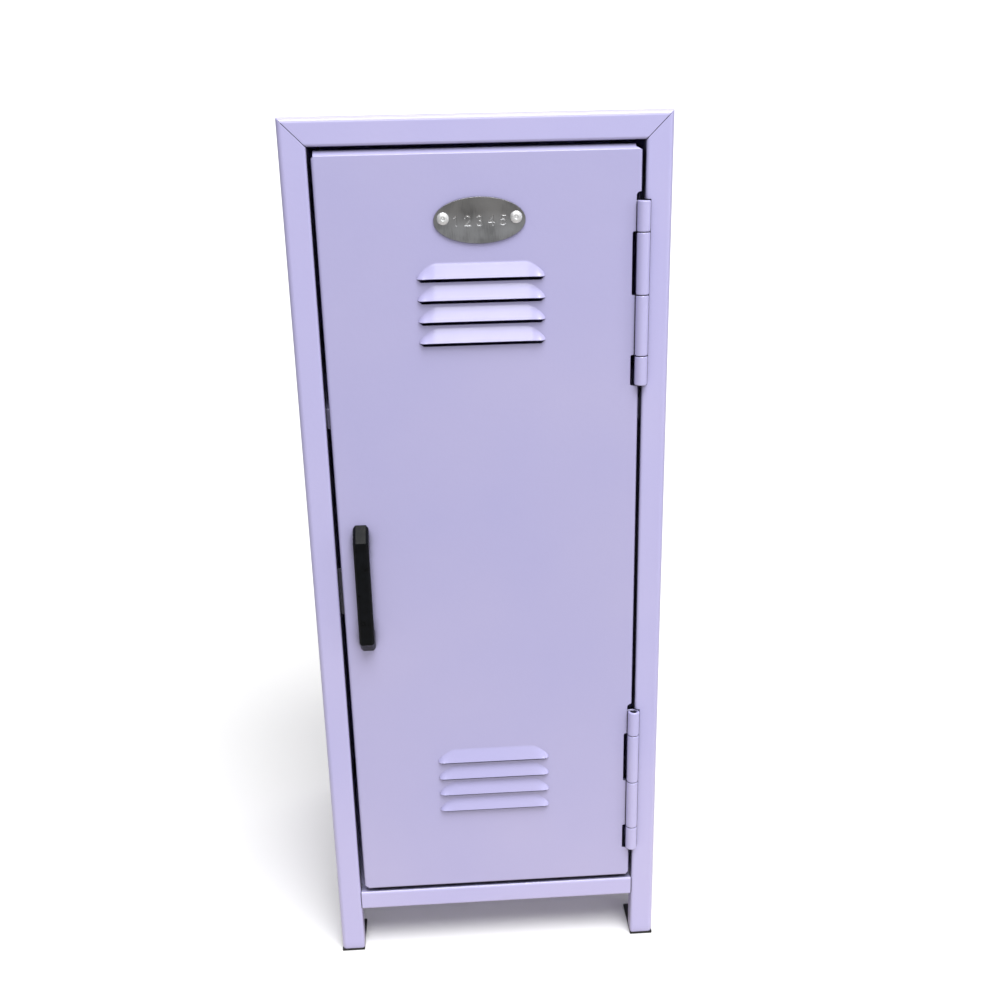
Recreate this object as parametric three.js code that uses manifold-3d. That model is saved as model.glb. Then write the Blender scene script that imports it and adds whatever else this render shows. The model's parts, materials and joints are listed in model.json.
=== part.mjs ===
// A small steel locker: a folded sheet cabinet on four legs, a hinged pan door with louvres, a pull
// handle, an oval number plate, a magnetic catch, one shelf with a coat hook, and plastic feet.
// Millimetres, +Z up, front towards -Y. The origin is on the floor, under the middle of the object.

import * as THREE from 'three';
import { mergeVertices } from 'three/addons/utils/BufferGeometryUtils.js';
import Module from 'manifold-3d';

const wasm = await Module();
wasm.setup();

// ---------------------------------------------------------------- driving dimensions

const width = 203;             // cabinet, left to right
const depth = 203;             // cabinet, front to back
const height = 514;            // floor to top
const handleReach = 9;         // how far the handle stands off the door
const sheet = 0.8;             // steel sheet
const bendRadius = 3;          // outside radius of the front and top folds
const tightRadius = 1.6;       // outside radius of the hidden folds
const bendSteps = 4;           // facets in one fold
const hair = 0.2;              // space between parts that touch

const stileWidth = 14.4;       // face of the frame beside and above the door
const returnDepth = 9;         // the frame's inner edge is folded back this far
const rearFlange = 12;         // rear edges are folded in this far
const legHeight = 31.6;        // floor to the lower edge of the bottom rail
const railTop = 44.5;          // top of the bottom rail, and the cabinet's floor
const legWidth = 28;           // a leg seen from the side
const reveal = 1.8;            // gap around the door

const doorDepth = 8.6;         // the door's edges are folded back this far
const cornerRelief = 3;        // diagonal notch at each door corner

const hingeLength = 99;
const hingeBottoms = { lower: 68.7, upper: 370.7 };
const barrelRadius = 3.55;
const boreRadius = 1.75;
const pinRadius = 1.65;
const leafThickness = 1.6;
const barrelGap = 0.35;        // space between a barrel and the sheet beside it
const axisProud = 0.8;         // the hinge axis lies this far in front of the frame
const hingeRelief = 3.8;       // the door's edge is cut away this far above each barrel

const handleLength = 79.4;
const handleWidth = 8.8;
const handleMiddleZ = 255.4;
const screwSpacing = 60;

const shelfTop = 360;
const footThickness = 1.6;
const rivetHole = 1.75;

// ---------------------------------------------------------------- places that follow

const halfWidth = width / 2;
const frontY = handleReach - (depth + handleReach) / 2;
const backY = frontY + depth;
const openingHalf = halfWidth - stileWidth;
const openingTop = height - stileWidth;
const doorHalf = openingHalf - reveal;
const doorTop = openingTop - reveal;
const doorBottom = railTop + reveal;
const axisX = openingHalf - reveal / 2;
const axisY = frontY - axisProud;
const handleX = -72;
const wallInside = halfWidth - sheet;
const innerBackY = backY - 2 * (sheet + hair);
const legBottom = footThickness + hair / 2;
const beyond = 5;              // a cutter sticks out of the sheet it cuts by this much

// ---------------------------------------------------------------- finishes

const paint = { color: 0xbfbce6, roughness: 0.35, metalness: 0.1 };
const plateSteel = { color: 0x7d8085, roughness: 0.4, metalness: 1 };
const aluminium = { color: 0xd9dadc, roughness: 0.3, metalness: 1 };
const zincSteel = { color: 0xa9adb2, roughness: 0.4, metalness: 1 };
const blackPlastic = { color: 0x16171d, roughness: 0.4, metalness: 0 };
const whitePlastic = { color: 0xe6e6e2, roughness: 0.5, metalness: 0 };
const ferrite = { color: 0x2c2c2e, roughness: 0.6, metalness: 0.2 };
const footRubber = { color: 0x1c1c1e, roughness: 0.7, metalness: 0 };

// ---------------------------------------------------------------- tools for solids

function toSolid(geometry) {
  const bare = geometry.clone();
  bare.deleteAttribute('normal');
  bare.deleteAttribute('uv');
  const merged = mergeVertices(bare, 1e-4);
  const mesh = new wasm.Mesh({
    numProp: 3,
    vertProperties: new Float32Array(merged.attributes.position.array),
    triVerts: new Uint32Array(merged.index.array),
  });
  return new wasm.Manifold(mesh);
}

function toGeometry(solid) {
  const mesh = solid.getMesh();
  const geometry = new THREE.BufferGeometry();
  geometry.setAttribute('position', new THREE.BufferAttribute(new Float32Array(mesh.vertProperties), 3));
  geometry.setIndex(new THREE.BufferAttribute(new Uint32Array(mesh.triVerts), 1));
  geometry.computeVertexNormals();
  return geometry;
}

// One geometry made of a first solid, with others joined to it and then others cut from it.
function formed(first, { join = [], cut = [] }) {
  let solid = toSolid(first);
  for (const other of join) solid = solid.add(toSolid(other));
  for (const other of cut) solid = solid.subtract(toSolid(other));
  return toGeometry(solid);
}

function common(first, second) {
  return toGeometry(toSolid(first).intersect(toSolid(second)));
}

function piece(name, geometry, finish) {
  const mesh = new THREE.Mesh(geometry, new THREE.MeshStandardMaterial(finish));
  mesh.name = name;
  return mesh;
}

function block([x0, x1], [y0, y1], [z0, z1]) {
  const box = new THREE.BoxGeometry(x1 - x0, y1 - y0, z1 - z0);
  return box.translate((x0 + x1) / 2, (y0 + y1) / 2, (z0 + z1) / 2);
}

// The span between two distances from the middle plane, on the left (-1) or the right (1) side.
function onSide(side, near, far) {
  return side < 0 ? [-far, -near] : [near, far];
}

function extrude(shape, length, curveSegments = 8) {
  return new THREE.ExtrudeGeometry(shape, { depth: length, bevelEnabled: false, curveSegments });
}

const xAxis = new THREE.Vector3(1, 0, 0);
const yAxis = new THREE.Vector3(0, 1, 0);
const zAxis = new THREE.Vector3(0, 0, 1);

// A shape drawn in (x, y), standing from z0 to z1.
function extrudeUp(shape, [z0, z1]) {
  return extrude(shape, z1 - z0).translate(0, 0, z0);
}

// A shape drawn in (y, z), running from x0 to x1.
function extrudeAcross(shape, [x0, x1]) {
  const turn = new THREE.Matrix4().makeBasis(yAxis, zAxis, xAxis);
  return extrude(shape, x1 - x0).applyMatrix4(turn).translate(x0, 0, 0);
}

// A shape drawn in (x, z) as seen from the front, from y1 at the back to y0 at the front.
function extrudeForward(shape, [y0, y1]) {
  const turn = new THREE.Matrix4().makeBasis(xAxis, zAxis, yAxis.clone().negate());
  return extrude(shape, y1 - y0, 24).applyMatrix4(turn).translate(0, y1, 0);
}

// Outline of a folded sheet. The corners are those of its outer face, as [u, v, radius], every turn is
// a right angle to the right, and the sheet lies to the right of the path.
function foldedOutline(corners) {
  const outer = [];
  const inner = [];
  const point = (i) => new THREE.Vector2(corners[i][0], corners[i][1]);
  const direction = (i) => point(i + 1).sub(point(i)).normalize();
  const rightOf = (along) => new THREE.Vector2(along.y, -along.x);
  const last = corners.length - 1;

  outer.push(point(0));
  inner.push(point(0).addScaledVector(rightOf(direction(0)), sheet));
  for (let i = 1; i < last; i += 1) {
    const radius = corners[i][2];
    const along = direction(i - 1);
    const outward = rightOf(along).negate();
    const centre = point(i).addScaledVector(along, -radius).addScaledVector(outward, -radius);
    for (let step = 0; step <= bendSteps; step += 1) {
      const angle = -(step / bendSteps) * (Math.PI / 2);
      const spoke = outward.clone().rotateAround(new THREE.Vector2(), angle);
      outer.push(centre.clone().addScaledVector(spoke, radius));
      inner.push(centre.clone().addScaledVector(spoke, radius - sheet));
    }
  }
  outer.push(point(last));
  inner.push(point(last).addScaledVector(rightOf(direction(last - 1)), sheet));
  return outer.concat(inner.reverse());
}

function mirroredAcross(points) {
  return points.map((p) => new THREE.Vector2(-p.x, p.y));
}

function roundHole([x, z], radius, [y0, y1]) {
  return new THREE.CylinderGeometry(radius, radius, y1 - y0, 20).translate(x, (y0 + y1) / 2, z);
}

function uprightHole([x, y], radius, [z0, z1]) {
  const hole = new THREE.CylinderGeometry(radius, radius, z1 - z0, 20).rotateX(Math.PI / 2);
  return hole.translate(x, y, (z0 + z1) / 2);
}

// A body of revolution about Z from [radius, z] pairs that start and end on the axis.
function turned(profile, segments = 14) {
  const points = profile.map(([r, z]) => new THREE.Vector2(r, z));
  return new THREE.LatheGeometry(points, segments).rotateX(Math.PI / 2);
}

// ---------------------------------------------------------------- cabinet shell

// The corner joints at the top are mitred: everything beyond a slanting line drawn in (x, z) is cut off.
function mitreCutter(side, part) {
  const reach = 2 * stileWidth;
  const shift = part === 'side' ? -hair / 2 : hair / 2;
  const start = [halfWidth + beyond, height + beyond + shift];
  const end = [halfWidth - reach, height - reach + shift];
  const above = [halfWidth - reach, height + 2 * beyond];
  const beside = [halfWidth + beyond, height - reach];
  const far = part === 'side' ? above : beside;
  const corners = [start, end, far].map(([x, z]) => new THREE.Vector2(side * x, z));
  return extrudeForward(new THREE.Shape(corners), [frontY - beyond, backY + beyond]);
}

function sidePanelBlank(side) {
  const left = foldedOutline([
    [-openingHalf, frontY + returnDepth],
    [-openingHalf, frontY, tightRadius],
    [-halfWidth, frontY, bendRadius],
    [-halfWidth, backY, tightRadius],
    [-halfWidth + rearFlange, backY],
  ]);
  const outline = side < 0 ? left : mirroredAcross(left);
  return extrudeUp(new THREE.Shape(outline), [legBottom, height]);
}

// The side panel's lower edge is cut away between the legs, with rounded upper corners.
function legArch(side) {
  const radius = 8;
  const arch = new THREE.Shape();
  const from = frontY + legWidth;
  const to = backY - legWidth;
  arch.moveTo(from, -beyond);
  arch.lineTo(to, -beyond);
  arch.lineTo(to, legHeight - radius);
  arch.absarc(to - radius, legHeight - radius, radius, 0, Math.PI / 2);
  arch.absarc(from + radius, legHeight - radius, radius, Math.PI / 2, Math.PI);
  return extrudeAcross(arch, onSide(side, halfWidth - 2 * sheet, halfWidth + beyond));
}

// Room for a hinge barrel between two heights, cut into the edge of the frame or of the door.
function barrelNotch(x0, x1, z0, z1) {
  const past = 0.4;
  const notchDepth = 5;
  return block([x0, x1], [frontY - beyond, frontY + notchDepth], [z0 - past, z1 + past]);
}

function leftSidePanel() {
  const blank = sidePanelBlank(-1);
  return formed(blank, { cut: [mitreCutter(-1, 'side'), legArch(-1)] });
}

function rightSidePanel() {
  const notches = Object.values(hingeBottoms).map((z) => {
    return barrelNotch(openingHalf - beyond, axisX + barrelRadius + barrelGap, z, z + hingeLength);
  });
  const blank = sidePanelBlank(1);
  return formed(blank, { cut: [mitreCutter(1, 'side'), legArch(1), ...notches] });
}

function topPanel() {
  const outline = foldedOutline([
    [frontY + returnDepth, openingTop],
    [frontY, openingTop, tightRadius],
    [frontY, height, bendRadius],
    [backY, height, tightRadius],
    [backY, height - rearFlange],
  ]);
  const blank = extrudeAcross(new THREE.Shape(outline), [-halfWidth, halfWidth]);
  return formed(blank, { cut: [mitreCutter(-1, 'top'), mitreCutter(1, 'top')] });
}

// The floor of the cabinet, whose front edge is folded down as the bottom rail.
function bottomPanel() {
  const setBack = 0.3;
  const lip = 8;
  const railY = frontY + setBack;
  const outline = foldedOutline([
    [railY + lip, legHeight],
    [railY, legHeight, tightRadius],
    [railY, railTop, tightRadius],
    [innerBackY, railTop, tightRadius],
    [innerBackY, legHeight],
  ]);
  const edge = wallInside - hair;
  const inFrame = openingHalf - hair;
  const behindFrame = frontY + returnDepth + hair;
  const blank = extrudeAcross(new THREE.Shape(outline), [-edge, edge]);
  const flangeRelief = 1;
  const backRelief = 3;
  const flangeAlong = [behindFrame + flangeRelief, innerBackY - backRelief];
  const flangeUp = [legHeight + tightRadius, railTop - sheet / 2];
  const flanges = [-1, 1].map((side) => block(onSide(side, edge - sheet, edge), flangeAlong, flangeUp));
  const notches = [-1, 1].map((side) => {
    const overHeight = [legHeight - beyond, railTop + beyond];
    return block(onSide(side, inFrame, halfWidth), [frontY - beyond, behindFrame], overHeight);
  });
  return formed(blank, { join: flanges, cut: notches });
}

function backPanel() {
  const edge = halfWidth - tightRadius - hair;
  const y1 = backY - sheet - hair;
  return block([-edge, edge], [y1 - sheet, y1], [legHeight, height - tightRadius - hair]);
}

// ---------------------------------------------------------------- shelf and coat hook

const shelfFront = frontY + 14;
const shelfBack = innerBackY - hair;
const shelfFlange = 12;
const shelfEdge = wallInside - hair;
const supportWidth = 11;
const supportThickness = 1.2;
const rivetX = wallInside - supportWidth / 2;
const rivetFromEnd = 26;
const rivetYs = { front: shelfFront + rivetFromEnd, rear: shelfBack - rivetFromEnd };
const hookHole = 2.2;
const hookY = (shelfFront + shelfBack) / 2;

function shelfPanel() {
  const outline = foldedOutline([
    [shelfFront, shelfTop - shelfFlange],
    [shelfFront, shelfTop, tightRadius],
    [shelfBack, shelfTop, tightRadius],
    [shelfBack, shelfTop - shelfFlange],
  ]);
  const through = [shelfTop - beyond, shelfTop + beyond];
  const holes = [uprightHole([0, hookY], hookHole, through)];
  for (const y of Object.values(rivetYs)) {
    for (const side of [-1, 1]) holes.push(uprightHole([side * rivetX, y], rivetHole, through));
  }
  const blank = extrudeAcross(new THREE.Shape(outline), [-shelfEdge, shelfEdge]);
  return formed(blank, { cut: holes });
}

// An angle on the side wall that carries one edge of the shelf.
function shelfSupport(side) {
  const top = shelfTop - sheet - hair / 2;
  const setBack = 6;
  const along = [shelfFront + setBack, shelfBack - setBack];
  const edge = wallInside - hair;
  const flat = onSide(side, edge - supportWidth, edge);
  const wall = onSide(side, edge - supportThickness, edge);
  const holes = Object.values(rivetYs).map((y) => {
    return uprightHole([side * rivetX, y], rivetHole, [top - beyond, top + beyond]);
  });
  const flatPart = block(flat, along, [top - supportThickness, top]);
  const wallPart = block(wall, along, [top - supportWidth, top - supportThickness / 2]);
  return formed(flatPart, { join: [wallPart], cut: holes });
}

// A blind rivet with its head up: the origin is under the head, and grip is what it holds together.
function blindRivet(grip) {
  const head = 3.175;
  const shank = 1.6;
  const bulb = 2.3;
  return turned([
    [0, -grip - 2.8],
    [1.5, -grip - 2.8],
    [bulb, -grip - 1.8],
    [bulb, -grip - 0.9],
    [shank, -grip - 0.1],
    [shank, 0],
    [head, 0],
    [head, 0.35],
    [2.6, 0.85],
    [1.5, 1.2],
    [0, 1.3],
  ]);
}

const hookBase = 2;

function coatHook() {
  const rodRadius = 2;
  const base = block([-9, 9], [-7, 7], [-hookBase, 0]);
  const rod = new THREE.Shape().absarc(0, 0, rodRadius, 0, 2 * Math.PI);
  const prongs = [-1, 1].map((side) => {
    const path = new THREE.CatmullRomCurve3([
      new THREE.Vector3(side * 7, 0, -1),
      new THREE.Vector3(side * 7.5, 0, -12),
      new THREE.Vector3(side * 10, 0, -21),
      new THREE.Vector3(side * 16.5, 0, -24),
      new THREE.Vector3(side * 22.5, 0, -20),
      new THREE.Vector3(side * 25, 0, -12),
    ]);
    return new THREE.ExtrudeGeometry(rod, { extrudePath: path, steps: 10, curveSegments: 4 });
  });
  return formed(base, { join: prongs, cut: [uprightHole([0, 0], hookHole, [-beyond, beyond])] });
}

function hookBolt() {
  return turned([[0, -9], [2, -9], [2, 0], [4.5, 0], [4.3, 0.9], [3.2, 1.7], [1.6, 2.1], [0, 2.2]]);
}

const nutHeight = 3.2;

function hookNut() {
  const acrossFlats = 7;
  const overCorners = acrossFlats / Math.cos(Math.PI / 6);
  const hexagon = new THREE.CylinderGeometry(overCorners / 2, overCorners / 2, nutHeight, 6);
  const hole = uprightHole([0, 0], hookHole, [-beyond, beyond]);
  return formed(hexagon.rotateX(Math.PI / 2), { cut: [hole] });
}

// ---------------------------------------------------------------- hinges

// In a hinge's own frame the axis is Z, the barrel stands on z = 0, and +y points into the cabinet.
const knuckleEnds = [0, 1 / 6, 1 / 2, 5 / 6, 1].map((share) => share * hingeLength);
const frameKnuckles = [0, 2];
const doorKnuckles = [1, 3];
const leafSpan = [barrelRadius - leafThickness, barrelRadius];
const doorSlot = 5.7;          // axis to the far edge of the slots beside the frame's knuckles
const leafInset = 0.5;

function knuckleSpan(index) {
  const low = knuckleEnds[index] + (index > 0 ? hair / 2 : 0);
  const high = knuckleEnds[index + 1] - (index < 3 ? hair / 2 : 0);
  return [low, high];
}

function hingeLeaf(knuckles, side, plateNear, plateFar) {
  const plate = block(onSide(side, plateNear, plateFar), leafSpan, [leafInset, hingeLength - leafInset]);
  const join = [];
  const bores = [];
  for (const index of knuckles) {
    const span = knuckleSpan(index);
    const barrel = new THREE.Shape().absarc(0, 0, barrelRadius, 0, 2 * Math.PI);
    join.push(extrude(barrel, span[1] - span[0], 16).translate(0, 0, span[0]));
    join.push(block(onSide(side, 0, plateNear + leafInset), leafSpan, span));
    bores.push(uprightHole([0, 0], boreRadius, [span[0] - beyond, span[1] + beyond]));
  }
  return formed(plate, { join, cut: bores });
}

function hingePin() {
  const bottom = 1;
  const belowTop = 2.5;
  const top = hingeLength - belowTop;
  const nose = 0.5;
  return turned([
    [0, bottom],
    [pinRadius - nose, bottom],
    [pinRadius, bottom + nose],
    [pinRadius, top - nose],
    [pinRadius - nose, top],
    [0, top],
  ]);
}

// ---------------------------------------------------------------- door

const louvre = { halfLength: 34.2, end: 10.2, rise: 8.5, reach: 2.6, pitch: 11.4, count: 4 };
const louvreTopLips = [432, 138.4];
const sideBend = 2.4;          // outside radius of the folds at the door's sides and bottom
const plateCentreZ = 461.4;
const plateRivetX = 19.1;
const plateRivetRise = 1.2;    // the rivets sit a little above the middle of the plate
const screwHole = 2.2;
const handleScrewZs = {
  upper: handleMiddleZ + screwSpacing / 2,
  lower: handleMiddleZ - screwSpacing / 2,
};

// A slab seen edge on, with its two front corners rounded: u runs along it and v from front to back.
function panOutline(low, high, front, back, radiusLow, radiusHigh) {
  const shape = new THREE.Shape();
  shape.moveTo(low, back);
  shape.lineTo(low, front + radiusLow);
  shape.absarc(low + radiusLow, front + radiusLow, radiusLow, Math.PI, 1.5 * Math.PI);
  shape.absarc(high - radiusHigh, front + radiusHigh, radiusHigh, 1.5 * Math.PI, 2 * Math.PI);
  shape.lineTo(high, back);
  return shape;
}

function doorSlab(inset, back) {
  const side = sideBend - inset;
  const top = bendRadius - inset;
  const front = frontY + inset;
  const half = doorHalf - inset;
  const low = doorBottom + inset;
  const high = doorTop - inset;
  const plan = new THREE.Shape(panOutline(-half, half, front, back, side, side).getPoints(bendSteps));
  const upright = panOutline(low, high, front, back, side, top).getPoints(bendSteps);
  const profile = new THREE.Shape(upright.map((p) => new THREE.Vector2(p.y, p.x)));
  return common(extrudeUp(plan, [low, high]), extrudeAcross(profile, [-half, half]));
}

// The outside of one louvre's hood, or the hollow under it when inset is the sheet's thickness.
function louvreHood(lipZ, inset) {
  const end = louvre.end - inset;
  const straight = 2 * (louvre.halfLength - louvre.end);
  const hood = new THREE.CapsuleGeometry(1, straight / end, bendSteps, 16).rotateZ(Math.PI / 2);
  hood.scale(end, louvre.reach - inset, louvre.rise - inset);
  hood.translate(0, frontY, lipZ);
  const low = inset > 0 ? lipZ - hair : lipZ;
  const back = inset > 0 ? frontY + beyond : frontY + sheet / 2;
  const around = louvre.halfLength + beyond;
  const inFront = frontY - louvre.reach - beyond;
  return common(hood, block([-around, around], [inFront, back], [low, lipZ + louvre.rise + beyond]));
}

function doorCornerCutters() {
  const cutters = [];
  for (const side of [-1, 1]) {
    for (const [z, up] of [[doorTop, 1], [doorBottom, -1]]) {
      const corners = [
        [doorHalf - cornerRelief, z + up],
        [doorHalf + 1, z + up],
        [doorHalf + 1, z - up * cornerRelief],
      ];
      const triangle = corners.map(([x, height]) => new THREE.Vector2(side * x, height));
      const through = [frontY - beyond, frontY + doorDepth + beyond];
      cutters.push(extrudeForward(new THREE.Shape(triangle), through));
    }
  }
  return cutters;
}

function doorHingeCutters() {
  const cutters = [];
  for (const bottom of Object.values(hingeBottoms)) {
    const edge = doorHalf + beyond;
    const top = bottom + hingeLength + hingeRelief;
    cutters.push(barrelNotch(axisX - barrelRadius - barrelGap, edge, bottom, top));
    for (const index of frameKnuckles) {
      const [low, high] = knuckleSpan(index);
      cutters.push(barrelNotch(axisX - doorSlot, edge, bottom + low, bottom + high));
    }
  }
  return cutters;
}

function doorPanel() {
  const hoods = [];
  const hollows = [];
  for (const topLip of louvreTopLips) {
    for (let i = 0; i < louvre.count; i += 1) {
      hoods.push(louvreHood(topLip - i * louvre.pitch, 0));
      hollows.push(louvreHood(topLip - i * louvre.pitch, sheet));
    }
  }
  const through = [frontY - beyond, frontY + beyond];
  const rivetZ = plateCentreZ + plateRivetRise;
  const rivetHoles = [-1, 1].map((side) => roundHole([side * plateRivetX, rivetZ], rivetHole, through));
  const screwHoles = Object.values(handleScrewZs).map((z) => roundHole([handleX, z], screwHole, through));
  const outside = doorSlab(0, frontY + doorDepth);
  const inside = doorSlab(sheet, frontY + doorDepth + beyond);
  const pan = formed(outside, { cut: [inside, ...doorCornerCutters(), ...doorHingeCutters()] });
  return formed(pan, { join: hoods, cut: [...hollows, ...rivetHoles, ...screwHoles] });
}

// ---------------------------------------------------------------- number plate and handle

const plateThickness = 1;
const plateHalf = { x: 24, z: 11.8 };

function numberPlate() {
  const oval = new THREE.Shape().absellipse(0, 0, plateHalf.x, plateHalf.z, 0, 2 * Math.PI);
  const plate = extrudeForward(oval, [-plateThickness, 0]);
  const holes = [-1, 1].map((side) => {
    return roundHole([side * plateRivetX, plateRivetRise], rivetHole, [-beyond, beyond]);
  });
  return formed(plate, { cut: holes });
}

// A bridge-shaped pull drawn from the side as (y, z), with y = 0 on the door and its middle at z = 0.
function handleGeometry() {
  const half = handleLength / 2;
  const edge = 1.35;             // bevel along the outline
  const taper = 1.6;
  const buried = 3;
  const slope = 8;
  const post = 14;
  const barThickness = 4.5;
  const gapDepth = handleReach - barThickness;
  const outline = new THREE.Shape();
  outline.moveTo(buried, -half - 0.5);
  outline.lineTo(0, -half);
  outline.lineTo(-handleReach, -half + slope);
  outline.lineTo(-handleReach, half - slope);
  outline.lineTo(0, half);
  outline.lineTo(buried, half + 0.5);
  outline.lineTo(buried, half - post);
  outline.lineTo(0, half - post);
  outline.lineTo(-gapDepth, half - post - taper);
  outline.lineTo(-gapDepth, -half + post + taper);
  outline.lineTo(0, -half + post);
  outline.lineTo(buried, -half + post);
  const bar = new THREE.ExtrudeGeometry(outline, {
    depth: handleWidth - 2 * edge,
    bevelThickness: edge,
    bevelSize: edge,
    bevelOffset: -edge,
    bevelSegments: 3,
  });
  bar.applyMatrix4(new THREE.Matrix4().makeBasis(yAxis, zAxis, xAxis));
  bar.translate(-handleWidth / 2 + edge, 0, 0);
  const behind = block([-handleWidth, handleWidth], [-hair / 2, 2 * beyond], [-handleLength, handleLength]);
  const screwDepth = 6.5;
  const screwBore = 1.95;
  const holes = [-1, 1].map((end) => {
    return roundHole([0, end * screwSpacing / 2], screwBore, [-screwDepth, beyond]);
  });
  return formed(bar, { cut: [behind, ...holes] });
}

// A pan-head screw whose head is at z = 0 and whose shank points up.
function panScrew(shank, length) {
  const head = 1.9 * shank;
  return turned([
    [0, -2.2],
    [0.6 * head, -2.1],
    [0.9 * head, -1.5],
    [head, -0.6],
    [head, 0],
    [shank, 0],
    [shank, length - 0.8],
    [0.6 * shank, length],
    [0, length],
  ]);
}

// ---------------------------------------------------------------- magnetic catch

const catchMiddleZ = 250.5;
const catchHeight = 29;
const catchPlateY = frontY + returnDepth + 0.3;
const catchReachX = -66;
const catchX = -76;
const catchScrewOffset = 10.5;
const catchScrewZs = { upper: catchMiddleZ + catchScrewOffset, lower: catchMiddleZ - catchScrewOffset };
const housingHalf = { x: 6, z: 13.5 };
const magnetHalf = { x: 4, z: 7 };
const magnetDepth = 5;

// An angle on the side wall whose front leg passes behind the frame's edge and behind the door's.
function catchBracket() {
  const wallX = -wallInside + hair;
  const alongWall = 22;
  const outline = foldedOutline([
    [catchReachX, catchPlateY],
    [wallX, catchPlateY, tightRadius],
    [wallX, catchPlateY + alongWall],
  ]);
  const blank = extrudeUp(new THREE.Shape(outline), [-catchHeight / 2, catchHeight / 2]);
  const holes = Object.values(catchScrewZs).map((z) => {
    return roundHole([catchX, z - catchMiddleZ], 1.7, [catchPlateY - beyond, catchPlateY + beyond]);
  });
  return formed(blank, { cut: holes });
}

const housingSpan = [frontY + sheet + 0.3, catchPlateY - hair / 2];

function catchHousing() {
  const { x, z } = housingHalf;
  const shell = block([-x, x], housingSpan, [-z, z]);
  const pocketSpan = [housingSpan[0] - beyond, housingSpan[0] + magnetDepth];
  const pocket = block([-magnetHalf.x, magnetHalf.x], pocketSpan, [-magnetHalf.z, magnetHalf.z]);
  const screwDepth = 5;
  const holes = [-1, 1].map((end) => {
    const along = [housingSpan[1] - screwDepth, housingSpan[1] + beyond];
    return roundHole([0, end * catchScrewOffset], 1.6, along);
  });
  return formed(shell, { cut: [pocket, ...holes] });
}

function catchMagnet() {
  const clear = 0.15;
  const x = magnetHalf.x - clear;
  const z = magnetHalf.z - clear;
  return block([-x, x], [housingSpan[0], housingSpan[0] + magnetDepth - clear], [-z, z]);
}

// ---------------------------------------------------------------- feet

// A pad under one leg, with a plug that stands up inside the leg's folded sheet.
function foot(side, end) {
  const plugHeight = 7.4;
  const plugLength = 13;
  const clear = 0.4;
  const front = end < 0;
  const inner = halfWidth - (front ? stileWidth : rearFlange);
  const y0 = front ? frontY : backY - legWidth;
  const plugStart = front ? frontY + bendRadius + clear : backY - tightRadius - 2 * clear - plugLength;
  const pad = block(onSide(side, inner, halfWidth), [y0, y0 + legWidth], [0, footThickness]);
  const plug = block(
    onSide(side, inner + tightRadius + clear, wallInside - clear),
    [plugStart, plugStart + plugLength],
    [footThickness / 2, footThickness + plugHeight],
  );
  return formed(pad, { join: [plug] });
}

// ---------------------------------------------------------------- assembly

const locker = new THREE.Group();
const cabinet = new THREE.Group();
const door = new THREE.Group();
locker.add(cabinet, door);

cabinet.add(piece('left_side_panel', leftSidePanel(), paint));
cabinet.add(piece('right_side_panel', rightSidePanel(), paint));
cabinet.add(piece('top_panel', topPanel(), paint));
cabinet.add(piece('bottom_panel', bottomPanel(), paint));
cabinet.add(piece('back_panel', backPanel(), paint));

cabinet.add(piece('shelf', shelfPanel(), paint));
for (const [name, side] of [['left', -1], ['right', 1]]) {
  cabinet.add(piece(`shelf_support_${name}`, shelfSupport(side), paint));
  for (const [place, y] of Object.entries(rivetYs)) {
    const grip = sheet + supportThickness + hair;
    const rivet = piece(`shelf_rivet_${name}_${place}`, blindRivet(grip), aluminium);
    rivet.position.set(side * rivetX, y, shelfTop + hair / 2);
    cabinet.add(rivet);
  }
}

const hookGroup = new THREE.Group();
hookGroup.position.set(0, hookY, shelfTop);
const hook = piece('coat_hook', coatHook(), zincSteel);
hook.position.z = -sheet - hair;
const bolt = piece('hook_bolt', hookBolt(), zincSteel);
bolt.position.z = hair / 2;
const nut = piece('hook_nut', hookNut(), zincSteel);
nut.position.z = -sheet - hookBase - 2 * hair - nutHeight / 2;
hookGroup.add(hook, bolt, nut);
cabinet.add(hookGroup);

for (const [name, bottom] of Object.entries(hingeBottoms)) {
  const hinge = new THREE.Group();
  hinge.position.set(axisX, axisY, bottom);
  const framePlate = [barrelRadius + 0.4, halfWidth - bendRadius - 0.6 - axisX];
  const doorPlate = [6.2, 20];
  hinge.add(piece(`${name}_hinge_frame_leaf`, hingeLeaf(frameKnuckles, 1, ...framePlate), paint));
  hinge.add(piece(`${name}_hinge_pin`, hingePin(), zincSteel));
  hinge.add(piece(`${name}_hinge_door_leaf`, hingeLeaf(doorKnuckles, -1, ...doorPlate), paint));
  locker.add(hinge);
}

door.add(piece('door_panel', doorPanel(), paint));

const plateGroup = new THREE.Group();
plateGroup.position.set(0, frontY - hair / 2, plateCentreZ);
plateGroup.add(piece('number_plate', numberPlate(), plateSteel));
for (const [name, side] of [['left', -1], ['right', 1]]) {
  const rivet = piece(`plate_rivet_${name}`, blindRivet(plateThickness + sheet + hair), aluminium);
  rivet.rotation.x = Math.PI / 2;
  rivet.position.set(side * plateRivetX, -plateThickness - hair / 2, plateRivetRise);
  plateGroup.add(rivet);
}
door.add(plateGroup);

const handle = piece('door_handle', handleGeometry(), blackPlastic);
handle.position.set(handleX, frontY, handleMiddleZ);
door.add(handle);
for (const [name, z] of Object.entries(handleScrewZs)) {
  const screw = piece(`handle_screw_${name}`, panScrew(1.8, 6.5), zincSteel);
  screw.rotation.x = Math.PI / 2;
  screw.position.set(handleX, frontY + sheet + hair, z);
  door.add(screw);
}

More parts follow.
